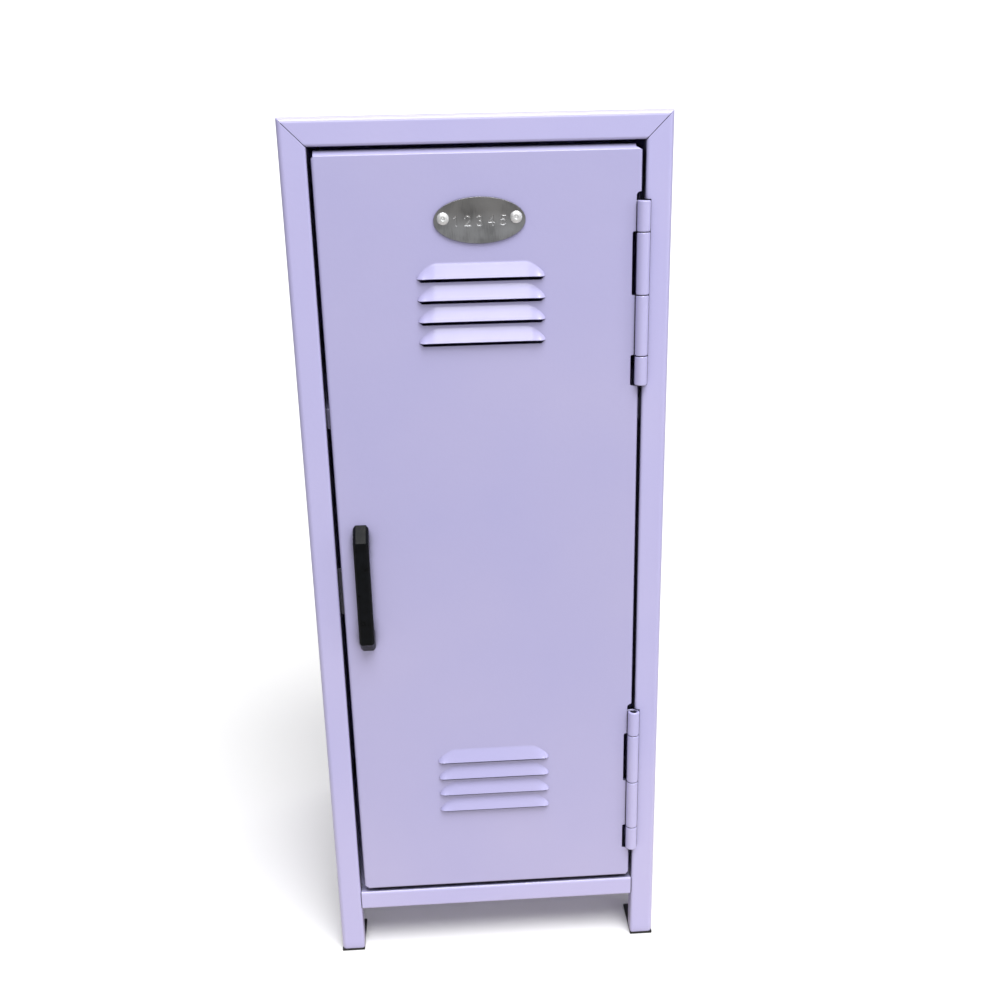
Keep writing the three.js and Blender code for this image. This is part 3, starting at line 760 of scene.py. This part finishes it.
def softened(obj, width, angle=30):
    """Rounds an object's sharp edges, keeping its flat faces flat."""
    add_bevel(obj, width, angle)
    smoothed(settle(obj), 40)
    weigh = obj.modifiers.new("weigh", "WEIGHTED_NORMAL")
    weigh.keep_sharp = True
    return obj


def coat_hook():
    """A double hook: a flat base under the shelf, and a rod to each side that ends in a ball."""
    top = face_of("coat_hook", (0, 0, 1))
    corners = [(-9, -7, 2), (9, -7, 2), (9, 7, 2), (-9, 7, 2)]
    base_outline = rounded_outline([(x * mm, y * mm, r * mm) for x, y, r in corners])
    hook = prism("double_coat_hook", base_outline, lambda u, v, w: top + Vector((u, v, -w)), 2 * mm)
    for side in (-1, 1):
        shape = [(7, -1), (7.2, -8), (7.8, -13), (9.5, -18.5), (12.6, -22.4), (16.5, -24),
                 (20.2, -22.8), (22.8, -19.5), (24, -16), (24.6, -13.2), (24.8, -12.4), (24.9, -11.9)]
        path = [top + Vector((side * x, 0, z)) * mm for x, z in shape]
        radii = [2 * mm] * 9 + [1.9 * mm, 1.4 * mm, 0.7 * mm]
        boolean(hook, sweep("prong", path, radii), "UNION")
    hole = prism("hole", circle((0, 0), BOLT_HOLE), lambda u, v, w: top + Vector((u, v, 1 * mm - w)), 4 * mm)
    boolean(hook, hole, "DIFFERENCE")
    dress(softened(hook, 0.35 * mm), ZINC, "cabinet", "coat_hook")


def screw(name, node, head_radius, shank_radius, outward, body):
    """A pan-head screw with a cross recess. outward points from its tip to its head."""
    axis = Vector(outward)
    top = face_of(node, axis)
    length = 2 * (top - middle(node)).length
    r, q = head_radius, shank_radius
    thread = []
    pitch = 0.5 * mm
    head = 0.62 * r
    turns = int((length - head - 1.5 * mm) / pitch)
    for k in range(turns):
        z = -length + 1.0 * mm + k * pitch
        thread += [(0.82 * q, z), (q, z + 0.22 * mm), (q, z + 0.3 * mm)]
    profile = [(0, -length), (0.6 * q, -length), (0.8 * q, -length + 0.5 * mm), *thread,
               (0.85 * q, -head - 0.2 * mm), (0.85 * q, -head), (0.97 * r, -head), (r, -head + 0.1 * mm),
               (r, -0.62 * head), (0.9 * r, -0.3 * head), (0.7 * r, -0.1 * head), (0.4 * r, 0), (0, 0)]
    obj = lathe(name, profile, top, axis, steps=32)
    across = axis.orthogonal().normalized()
    beside = axis.cross(across)
    wide, thin = 0.48 * r, 0.11 * r
    for first, second in ((across, beside), (beside, across)):
        def place(u, v, w, first=first, second=second):
            taper = 1 - 0.55 * w / (0.8 * head)
            return top + axis * (0.1 * mm - w) + first * u * taper + second * v
        cutter = prism("cutter", rectangle(-wide, wide, -thin, thin), place, 0.7 * head)
        boolean(obj, cutter, "DIFFERENCE")
    dress(smoothed(obj, 35), ZINC, body, node)


def hook_bolt():
    """A mushroom-head bolt with a straight slot, which holds the hook from above the shelf."""
    top = face_of("hook_bolt", (0, 0, 1))
    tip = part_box("hook_bolt")[0].z - top.z
    head = [(2, -2.2), (4.4, -2.2), (4.5, -2.0), (4.3, -1.35), (3.6, -0.7), (2.4, -0.2), (1.2, -0.03), (0, 0)]
    profile = [(0, tip), (1.5 * mm, tip), (2 * mm, tip + 0.5 * mm)] + [(r * mm, z * mm) for r, z in head]
    bolt = lathe("hook_bolt_head", profile, top, (0, 0, 1))
    slot_cut = prism("slot", rectangle(-5 * mm, 5 * mm, -0.5 * mm, 0.5 * mm),
                     lambda u, v, w: top + Vector((u, v, 0.2 * mm - w)), 1.1 * mm)
    boolean(bolt, slot_cut, "DIFFERENCE")
    dress(smoothed(bolt, 35), ZINC, "cabinet", "hook_bolt")


def catch_bracket():
    low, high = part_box("catch_bracket")
    fold = Fold([(high.x, low.y), (low.x, low.y, TIGHT), (low.x, high.y)])
    outline = rounded_outline([
        (EDGE_ROUND, low.z + EDGE_ROUND, 2 * mm), (fold.length, low.z + EDGE_ROUND, 2 * mm),
        (fold.length, high.z - EDGE_ROUND, 2 * mm), (EDGE_ROUND, high.z - EDGE_ROUND, 2 * mm),
    ])
    holes = []
    for end in ("upper", "lower"):
        centre = middle(f"catch_screw_{end}")
        holes.append(circle((high.x - centre.x, centre.z), 1.7 * mm))
    bracket = folded_sheet("catch_tab", fold, level_section, outline, holes)
    dress(bracket, PAINT, "cabinet", "catch_bracket")


def keep(node, material, width):
    """A CAD node whose shape is right: it gets rounded edges and a finished material."""
    obj = frame["nodes"][node]
    paint(obj, material)
    weld = obj.modifiers.new("weld", "WELD")
    weld.merge_threshold = 0.002 * mm
    add_bevel(obj, width, 40)
    weigh = obj.modifiers.new("weigh", "WEIGHTED_NORMAL")
    weigh.keep_sharp = False


# ---- hinges

LEAF = 1.7 * mm
KNUCKLE_ROUND = 0.75 * mm
KNUCKLE_ROLL = math.radians(285)
DOOR_PLATE_SHORT = 6.2 * mm
KNUCKLE_SHARES = (0, 1 / 6, 1 / 2, 5 / 6, 1)
FRAME_KNUCKLES = (0, 2)
DOOR_KNUCKLES = (1, 3)


def knuckle(hinge, index):
    """Bottom and top of one knuckle, counted from the bottom."""
    z0, z1 = hinge_span(hinge)
    return z0 + (z1 - z0) * KNUCKLE_SHARES[index], z0 + (z1 - z0) * KNUCKLE_SHARES[index + 1]


def hinge_leaf(hinge, word, side, knuckles, body):
    """A leaf behind the sheet whose fingers are rolled round the pin."""
    node = f"{hinge}_hinge_{word}_leaf"
    low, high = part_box(node)
    reach = abs((high.x if side > 0 else low.x) - hinge_axis.x)
    fold = Fold([(-reach, BARREL_RADIUS), (0, BARREL_RADIUS)])
    fold.add_arc(Vector((0, BARREL_RADIUS)), Vector((1, 0)), BARREL_RADIUS, KNUCKLE_ROLL)
    plate_end = reach - (BARREL_RADIUS + 0.4 * mm if side > 0 else DOOR_PLATE_SHORT)
    inset = KNUCKLE_ROUND + 0.1 * mm
    plate_low = low.z + 0.5 * mm + inset
    plate_high = high.z - 0.5 * mm - inset
    outline = [(inset, plate_low)]
    for index in knuckles:
        k0, k1 = knuckle(hinge, index)
        start, end = k0 + inset, k1 - inset
        outline += [(plate_end, max(start, plate_low)), (fold.length, start),
                    (fold.length, end), (plate_end, min(end, plate_high))]
    if outline[-1][1] < plate_high:
        outline.append((plate_end, plate_high))
    if outline[1][1] > plate_low:
        outline.insert(1, (plate_end, plate_low))
    outline.append((inset, plate_high))

    def place(section, t):
        return Vector((hinge_axis.x - side * section.x, hinge_axis.y + section.y, t))

    leaf = folded_sheet(f"{hinge}_{word}_leaf", fold, place, outline, thickness=LEAF, rounding=KNUCKLE_ROUND)
    dress(leaf, PAINT, body, node)


def hinge_pin(hinge):
    """A pin whose top sits a little way down the barrel, so that the barrel's mouth looks dark."""
    node = f"{hinge}_hinge_pin"
    low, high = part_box(node)
    radius = (high.x - low.x) / 2
    top = Vector((hinge_axis.x, hinge_axis.y, high.z - PIN_SUNK))
    length = top.z - low.z
    profile = [(0, -length), (0.8 * radius, -length), (radius, -length + 0.4 * mm), (radius, -0.5 * mm),
               (0.92 * radius, -0.2 * mm), (0.7 * radius, -0.03 * mm), (0, 0)]
    dress(lathe(f"{hinge}_pin", profile, top, (0, 0, 1)), ZINC, "cabinet", node)


# ---- door

DOOR_SIDE_BEND = 1.9 * mm
DOOR_TOP_SLOPE = (3.0 * mm, 2.8 * mm)
DOOR_CREASE = 0.7 * mm
DOOR_TOP_BEND = 1.8 * mm
CORNER_WRAP = 0.5 * mm
FREE_EDGE_IN = 0.1 * mm
FREE_EDGE_LEAN = 0.8 * mm
CUT_ROUND = 0.3 * mm
RIGHT_TOP_CUT = (3.5 * mm, 3.2 * mm, 1.0 * mm)
LEFT_TOP_CUT = (1.2 * mm, 3.7 * mm, 3.2 * mm)
RIGHT_BOTTOM_CUT = (1.7 * mm, 2.5 * mm, 1.6 * mm)
LEFT_BOTTOM_CUT = (2.6 * mm, 2.8 * mm, 1.6 * mm)
LOUVRE_HALF = 34.2 * mm
LOUVRE_END = 10.2 * mm
LOUVRE_RISE = 8.5 * mm
LOUVRE_REACH = 2.6 * mm
LOUVRE_NOSE = 0.35
LOUVRE_SLIT = 2.3 * mm
LOUVRE_PITCH = 11.4 * mm
LOUVRE_COUNT = 4
LOUVRE_TOP_LIPS = (432 * mm, 138.4 * mm)
HINGE_RELIEF = 4.2 * mm
SLOT_CORNER = 1.1 * mm
SLOT_PAST_BARREL = 2.15 * mm


def rounded_step(share, power):
    """0 to 1 along the corner of a superellipse."""
    return (1 - (1 - share) ** power) ** (1 / power)


def eased_slope(share):
    """0 to 1 along a straight slope that starts with a fillet."""
    fillet = 0.14
    if share < fillet:
        return share * share / fillet / (2 - fillet)
    return (2 * share - fillet) / (2 - fillet)


def louvre_rows(face_s):
    """The eight hoods as grids of (s, t, proud), and the holes they fill. face_s turns z into s."""
    end_steps = 12
    across = [LOUVRE_END * (k / end_steps) ** 1.6 for k in range(end_steps + 1)]
    stations = [-LOUVRE_HALF + x for x in across] + [x * 6 * mm for x in range(-3, 4)]
    stations += [LOUVRE_HALF - x for x in reversed(across)]
    rows_down = 14
    pressings, holes = [], []
    for top_lip in LOUVRE_TOP_LIPS:
        for number in range(LOUVRE_COUNT):
            lip = top_lip - number * LOUVRE_PITCH
            rows = []
            for j in range(rows_down + 1):
                v = j / rows_down
                row = []
                for x in stations:
                    share = min(1, (LOUVRE_HALF - abs(x)) / LOUVRE_END)
                    z = lip + LOUVRE_RISE * rounded_step(share, 1.35) * (1 - v)
                    reach = LOUVRE_REACH * rounded_step(min(1, share / LOUVRE_NOSE), 1.8)
                    row.append((face_s(z), x, reach * eased_slope(v)))
                rows.append(row)
            pressings.append(rows)
            slit = [(face_s(lip - LOUVRE_SLIT), side * (LOUVRE_HALF - LOUVRE_SLIT)) for side in (1, -1)]
            holes.append([(s, t) for s, t, proud in rows[0]] + slit)
    return pressings, holes


def hinge_notch(hinge, face_s, t_behind):
    """The cut beside a hinge: room for the barrel, slots by the frame's knuckles, and a relief above."""
    z0, z1 = hinge_span(hinge)
    near = hinge_axis.x - BARREL_RADIUS - BARREL_GAP
    slot = hinge_axis.x - BARREL_RADIUS - SLOT_PAST_BARREL
    low_end = z0 - NOTCH_PAST
    low_top = knuckle(hinge, 0)[1] + NOTCH_PAST
    middle_low = knuckle(hinge, 2)[0] - NOTCH_PAST
    middle_high = knuckle(hinge, 2)[1] + NOTCH_PAST
    relief = z1 + HINGE_RELIEF
    corners = [
        (low_end, t_behind, 0), (low_end, slot, SLOT_CORNER),
        (low_top, slot, SLOT_CORNER), (low_top, near, 0),
        (middle_low, near, 0), (middle_low, slot, SLOT_CORNER),
        (middle_high, slot, SLOT_CORNER), (middle_high, near, 0),
        (relief, near, 2 * SLOT_CORNER), (relief, t_behind, 0),
    ]
    return rounded_outline([(face_s(z), t, radius) for z, t, radius in corners])


def hung_section(section, t):
    """Like upright_section, but the free edge sits in from the stile, more so towards the bottom."""
    height_share = (section.y - DOOR_BOTTOM) / (DOOR_TOP - DOOR_BOTTOM)
    inwards = FREE_EDGE_IN + FREE_EDGE_LEAN * (1 - height_share)
    return Vector((t + inwards * max(0, -t / DOOR_HALF), section.x, section.y))


def door_panel():
    slope_back, slope_down = DOOR_TOP_SLOPE
    fold = Fold([
        (FRONT + DOOR_DEPTH, DOOR_BOTTOM),
        (FRONT, DOOR_BOTTOM, DOOR_SIDE_BEND),
        (FRONT, DOOR_TOP - slope_down, DOOR_CREASE),
        (FRONT + slope_back, DOOR_TOP, DOOR_TOP_BEND),
        (FRONT + DOOR_DEPTH, DOOR_TOP),
    ])

    def face_s(z):
        return fold.start_of(2) + z - DOOR_BOTTOM - DOOR_SIDE_BEND

    flat = DOOR_HALF - DOOR_SIDE_BEND
    behind = flat + DOOR_SIDE_BEND * math.pi / 2 - DOOR_SIDE_BEND
    edge = behind + DOOR_DEPTH

    def blank_t(across):
        """Where the blank is cut so that the folded door's outline ends at this distance."""
        beyond = max(0, across - flat)
        return min(across, flat) + DOOR_SIDE_BEND * math.asin(min(1, beyond / DOOR_SIDE_BEND))

    def door_edge(bottom_cut, top_cut):
        """One side of the blank from bottom to top. A cut is (how far in, start and end of its slope)."""
        bottom_in, bottom_start, bottom_end = bottom_cut
        top_in, top_start, top_end = top_cut
        bottom_t, top_t = blank_t(DOOR_HALF - bottom_in), blank_t(DOOR_HALF - top_in)
        side_t = blank_t(DOOR_HALF - CORNER_WRAP)
        return rounded_outline([
            (0, bottom_t, 0), (face_s(DOOR_BOTTOM + bottom_end), bottom_t, CUT_ROUND),
            (face_s(DOOR_BOTTOM + bottom_start), side_t, 0), (face_s(DOOR_BOTTOM + bottom_start), edge, 0),
            (face_s(DOOR_TOP - top_start), edge, 0), (face_s(DOOR_TOP - top_start), side_t, 0),
            (face_s(DOOR_TOP - top_end), top_t, CUT_ROUND), (fold.length, top_t, 0),
        ])

    right = door_edge(RIGHT_BOTTOM_CUT, RIGHT_TOP_CUT)
    left = [(s, -t) for s, t in door_edge(LEFT_BOTTOM_CUT, LEFT_TOP_CUT)]
    pressings, holes = louvre_rows(face_s)
    holes += [hinge_notch(hinge, face_s, behind + NOTCH_DEPTH) for hinge in HINGES]
    for node, radius in (("plate_rivet_left", RIVET_HOLE), ("plate_rivet_right", RIVET_HOLE),
                         ("handle_screw_upper", BOLT_HOLE), ("handle_screw_lower", BOLT_HOLE)):
        centre = middle(node)
        holes.append(circle((face_s(centre.z), centre.x), radius))
    panel = folded_sheet("door_skin", fold, hung_section, right + left[::-1], holes,
                         sides=(DOOR_HALF, DOOR_SIDE_BEND), pressings=pressings)
    dress(panel, SHADED_DOOR_PAINT, "door", "door_panel")


# ---- number plate and handle

DIGITS = "12345"
DIGIT_HEIGHT = 4.8 * mm
DIGIT_PITCH = 6.2 * mm
STROKE_HALF = 0.45 * mm
STAMP_DEPTH = 0.17 * mm
BURR = 0.02 * mm
BURR_WIDTH = 0.25 * mm
STAMP_GRID = 0.125 * mm


def arc(centre_x, centre_z, radius, start, end, steps=10):
    """Points along an arc, with its angles in degrees."""
    angles = [math.radians(start + (end - start) * k / steps) for k in range(steps + 1)]
    return [(centre_x + radius * math.cos(a), centre_z + radius * math.sin(a)) for a in angles]


# Plain punched numerals, as strokes in a cell that is 0.6 wide and 1 high.
NUMERALS = {
    "1": [[(0.12, 0.8), (0.34, 1), (0.34, 0)]],
    "2": [arc(0.3, 0.7, 0.3, 170, -40) + [(0, 0), (0.6, 0)]],
    "3": [arc(0.28, 0.75, 0.25, 150, -90), arc(0.28, 0.26, 0.27, 90, -150)],
    "4": [[(0.45, 0), (0.45, 1), (0, 0.3), (0.62, 0.3)]],
    "5": [[(0.55, 1), (0.1, 1), (0.05, 0.53)] + arc(0.26, 0.32, 0.31, 135, -145)],
}


def stroke_segments(centre_x, centre_z):
    """The strokes of the whole number, as (start, end) pairs in metres."""
    segments = []
    for position, digit in enumerate(DIGITS):
        left = centre_x + (position - (len(DIGITS) - 1) / 2) * DIGIT_PITCH - 0.3 * DIGIT_HEIGHT
        base = centre_z - DIGIT_HEIGHT / 2
        for stroke in NUMERALS[digit]:
            points = [Vector((left + x * DIGIT_HEIGHT, base + z * DIGIT_HEIGHT)) for x, z in stroke]
            segments += list(zip(points, points[1:]))
    return segments


def distance_to(point, start, end):
    along = end - start
    share = max(0, min(1, (point - start).dot(along) / along.length_squared))
    return (point - start - along * share).length


def stamped_height(distance):
    """How far the face stands proud near a stroke: a round groove with a burr beside it."""
    if distance < STROKE_HALF:
        return -STAMP_DEPTH * (1 - (distance / STROKE_HALF) ** 2) ** 2
    if distance < STROKE_HALF + BURR_WIDTH:
        return BURR * math.sin(math.pi * (distance - STROKE_HALF) / BURR_WIDTH)
    return 0


def stamped_rows(centre_x, centre_z, low_z):
    """The stamped part of the plate as a grid of (s, t, proud)."""
    segments = stroke_segments(centre_x, centre_z)
    margin = STROKE_HALF + BURR_WIDTH + 2 * STAMP_GRID
    half_x = len(DIGITS) / 2 * DIGIT_PITCH
    half_z = DIGIT_HEIGHT / 2 + margin
    columns = round(2 * half_x / STAMP_GRID)
    rows = round(2 * half_z / STAMP_GRID)
    grid = []
    for j in range(rows + 1):
        z = centre_z + half_z - 2 * half_z * j / rows
        row = []
        for i in range(columns + 1):
            point = Vector((centre_x - half_x + 2 * half_x * i / columns, z))
            near = [s for s in segments if abs(s[0].x - point.x) < DIGIT_PITCH]
            distance = min((distance_to(point, *s) for s in near), default=DIGIT_PITCH)
            border = i in (0, columns) or j in (0, rows)
            row.append((z - low_z, point.x, 0 if border else stamped_height(distance)))
        grid.append(row)
    return grid


def number_plate():
    """An oval plate with a stamped number and two rivet holes."""
    centre = middle("number_plate")
    rim = 0.1 * mm
    half_x = (plate_high.x - plate_low.x) / 2 - rim
    half_z = (plate_high.z - plate_low.z) / 2 - rim
    fold = Fold([(plate_low.y, plate_low.z), (plate_low.y, plate_high.z)])
    angles = [2 * math.pi * k / 120 for k in range(120)]
    oval = [(half_z * (1 + math.sin(a)) + rim, centre.x + half_x * math.cos(a)) for a in angles]
    grid = stamped_rows(centre.x, centre.z, plate_low.z)
    border = grid[0] + [row[-1] for row in grid[1:-1]] + grid[-1][::-1] + [row[0] for row in grid[-2:0:-1]]
    holes = [[(s, t) for s, t, proud in border]]
    for word in ("left", "right"):
        spot = middle(f"plate_rivet_{word}")
        holes.append(circle((spot.z - plate_low.z, spot.x), RIVET_HOLE))
    thickness = plate_high.y - plate_low.y
    plate = folded_sheet("oval_plate", fold, upright_section, oval, holes, thickness, rim, pressings=[grid])
    dress(plate, PLATE_STEEL, "door", "number_plate")


def inset(outline, amounts):
    """Moves each side of an anticlockwise outline inwards by its own amount. Side i starts at corner i."""
    corners = []
    for i, corner in enumerate(outline):
        point = Vector(corner)
        before = (point - Vector(outline[i - 1])).normalized()
        after = (Vector(outline[(i + 1) % len(outline)]) - point).normalized()
        normals = Matrix(((-before.y, before.x), (-after.y, after.x)))
        corners.append(point + normals.inverted() @ Vector((amounts[i - 1], amounts[i])))
    return corners


def door_handle():
    """A bridge-shaped pull with chamfered edges: slanting ends, a flat grip and a finger gap behind it."""
    base_y = handle_high.y
    reach = base_y - handle_low.y
    low, high = handle_low.z, handle_high.z
    slope, post, gap, taper = 8 * mm, 14 * mm, 4.5 * mm, 1.6 * mm
    chamfer = 1.4 * mm
    outline = [
        (0, low), (reach, low + slope), (reach, high - slope), (0, high),
        (0, high - post), (gap, high - post - taper), (gap, low + post + taper), (0, low + post),
    ]
    inner = 0.4 * mm
    amounts = [chamfer, chamfer, chamfer, 0, inner, inner, inner, 0]
    narrow = inset(outline, amounts)
    sections = [(handle_low.x, narrow), (handle_low.x + chamfer, outline),
                (handle_high.x - chamfer, outline), (handle_high.x, narrow)]
    rings = [[Vector((x, base_y - u, v)) for u, v in section] for x, section in sections]
    handle = softened(ringed("bar_pull", rings), 0.3 * mm, angle=20)
    dress(handle, BLACK, "door", "door_handle")


# ---- the whole object

for side in (-1, 1):
    side_panel(side)
top_panel()
bottom_panel()
back_panel()
shelf_panel()
for word in ("left", "right"):
    shelf_support(word)
for word in SHELF_RIVETS:
    blind_rivet(f"shelf_fixing_{word}", f"shelf_rivet_{word}", (0, 0, 1), 2.2 * mm, "cabinet")
coat_hook()
hook_bolt()
keep("hook_nut", ZINC, 0.3 * mm)

for hinge in HINGES:
    hinge_leaf(hinge, "frame", 1, FRAME_KNUCKLES, "cabinet")
    hinge_leaf(hinge, "door", -1, DOOR_KNUCKLES, "door")
    hinge_pin(hinge)

door_panel()
number_plate()
for word in ("left", "right"):
    blind_rivet(f"plate_fixing_{word}", f"plate_rivet_{word}", (0, -1, 0), 2 * mm, "door")
door_handle()
for word in ("upper", "lower"):
    screw(f"handle_fixing_{word}", f"handle_screw_{word}", 3.42 * mm, 1.8 * mm, (0, 1, 0), "door")
    screw(f"catch_fixing_{word}", f"catch_screw_{word}", 2.66 * mm, 1.4 * mm, (0, 1, 0), "cabinet")

catch_bracket()
keep("catch_housing", WHITE_PLASTIC, 0.5 * mm)
keep("catch_magnet", FERRITE, 0.2 * mm)
for word in ("front_left", "front_right", "rear_left", "rear_right"):
    keep(f"foot_{word}", RUBBER, 0.4 * mm)

# ---- floor, light and camera

def floor_material():
    """Near white to the camera, but greyer to the object away from its feet, to keep its shading crisp."""
    floor = Finish("pale_floor")
    pale = floor.ramp(floor.noise(3), (0.92, 0.92, 0.925), (0.94, 0.94, 0.94))
    coordinates = floor.nodes.new("ShaderNodeTexCoord")
    distance = floor.nodes.new("ShaderNodeVectorMath")
    distance.operation = "LENGTH"
    floor.links.new(coordinates.outputs["Object"], distance.inputs[0])
    bounce = floor.ramp(distance.outputs["Value"], (0.68, 0.63, 0.56), (0.30, 0.295, 0.29), 0.2, 0.75)
    seen_by = floor.nodes.new("ShaderNodeLightPath")
    mix = floor.nodes.new("ShaderNodeMixRGB")
    floor.links.new(bounce, mix.inputs["Color1"])
    floor.links.new(seen_by.outputs["Is Camera Ray"], mix.inputs["Fac"])
    floor.links.new(pale, mix.inputs["Color2"])
    floor.feed("Base Color", mix.outputs["Color"])
    floor.feed("Roughness", 0.9)
    return floor.material


def sweep_backdrop():
    """A pale floor that curves up into a wall behind the object."""
    half, front, back, radius, top = 4.0, -4.0, 2.2, 1.2, 4.0
    profile = [(front, 0), *arc(back - radius, radius, radius, -90, 0, 16), (back, top)]
    points = [Vector((x, y, z)) for y, z in profile for x in (-half, half)]
    faces = [[2 * i, 2 * i + 1, 2 * i + 3, 2 * i + 2] for i in range(len(profile) - 1)]
    backdrop = piece_from("backdrop", points, faces)
    backdrop.data.materials.append(floor_material())


def area_light(name, location, target, size, power):
    light = bpy.data.lights.new(name, "AREA")
    light.shape = "RECTANGLE"
    light.size, light.size_y = size
    light.energy = power
    obj = bpy.data.objects.new(name, light)
    obj.location = location
    obj.rotation_euler = (Vector(target) - Vector(location)).to_track_quat("-Z", "Y").to_euler()
    bpy.context.scene.collection.objects.link(obj)


WORLD_STRENGTH = 0.16


def lighting():
    """One large soft key from above and in front, with weak fills for the front, right and backdrop."""
    world = bpy.data.worlds.new("studio")
    bpy.context.scene.world = world
    world.use_nodes = True
    background = world.node_tree.nodes["Background"]
    background.inputs["Color"].default_value = (1, 1, 1, 1)
    background.inputs["Strength"].default_value = WORLD_STRENGTH
    area_light("key", (0.6, -2.0, 4.6), (0, 0, HEIGHT / 2), (3.1, 2.6), 268)
    area_light("front", (0.15, FRONT - 1.45, 1.1), (0, FRONT, 0.43), (1.1, 0.3), 6.5)
    area_light("side", (1.3, FRONT - 0.5, 0.7), (0, FRONT, HEIGHT / 2), (0.25, 1.2), 2.5)
    area_light("backdrop_wash", (0, 0.9, 2.4), (0, 1.9, 0.4), (3.0, 0.6), 26)
    bpy.context.scene.view_settings.view_transform = "Standard"


def camera():
    """Eye level with the top of the locker, looking down and a little to the right, turned slightly."""
    eye = Vector((-23.9 * mm, FRONT - 596.7 * mm, 514.4 * mm))
    forward = Vector((0.0496, 0.9433, -0.3283)).normalized()
    right = Vector((0.9980, -0.0597, -0.0208))
    right = (right - forward * right.dot(forward)).normalized()
    data = bpy.data.cameras.new("camera")
    data.lens = 40.2
    data.sensor_width = 36
    data.clip_start = 0.01
    obj = bpy.data.objects.new("camera", data)
    axes = Matrix((right, right.cross(forward), -forward)).transposed()
    obj.matrix_world = Matrix.Translation(eye) @ axes.to_4x4()
    bpy.context.scene.collection.objects.link(obj)
    bpy.context.scene.camera = obj


sweep_backdrop()
lighting()
camera()
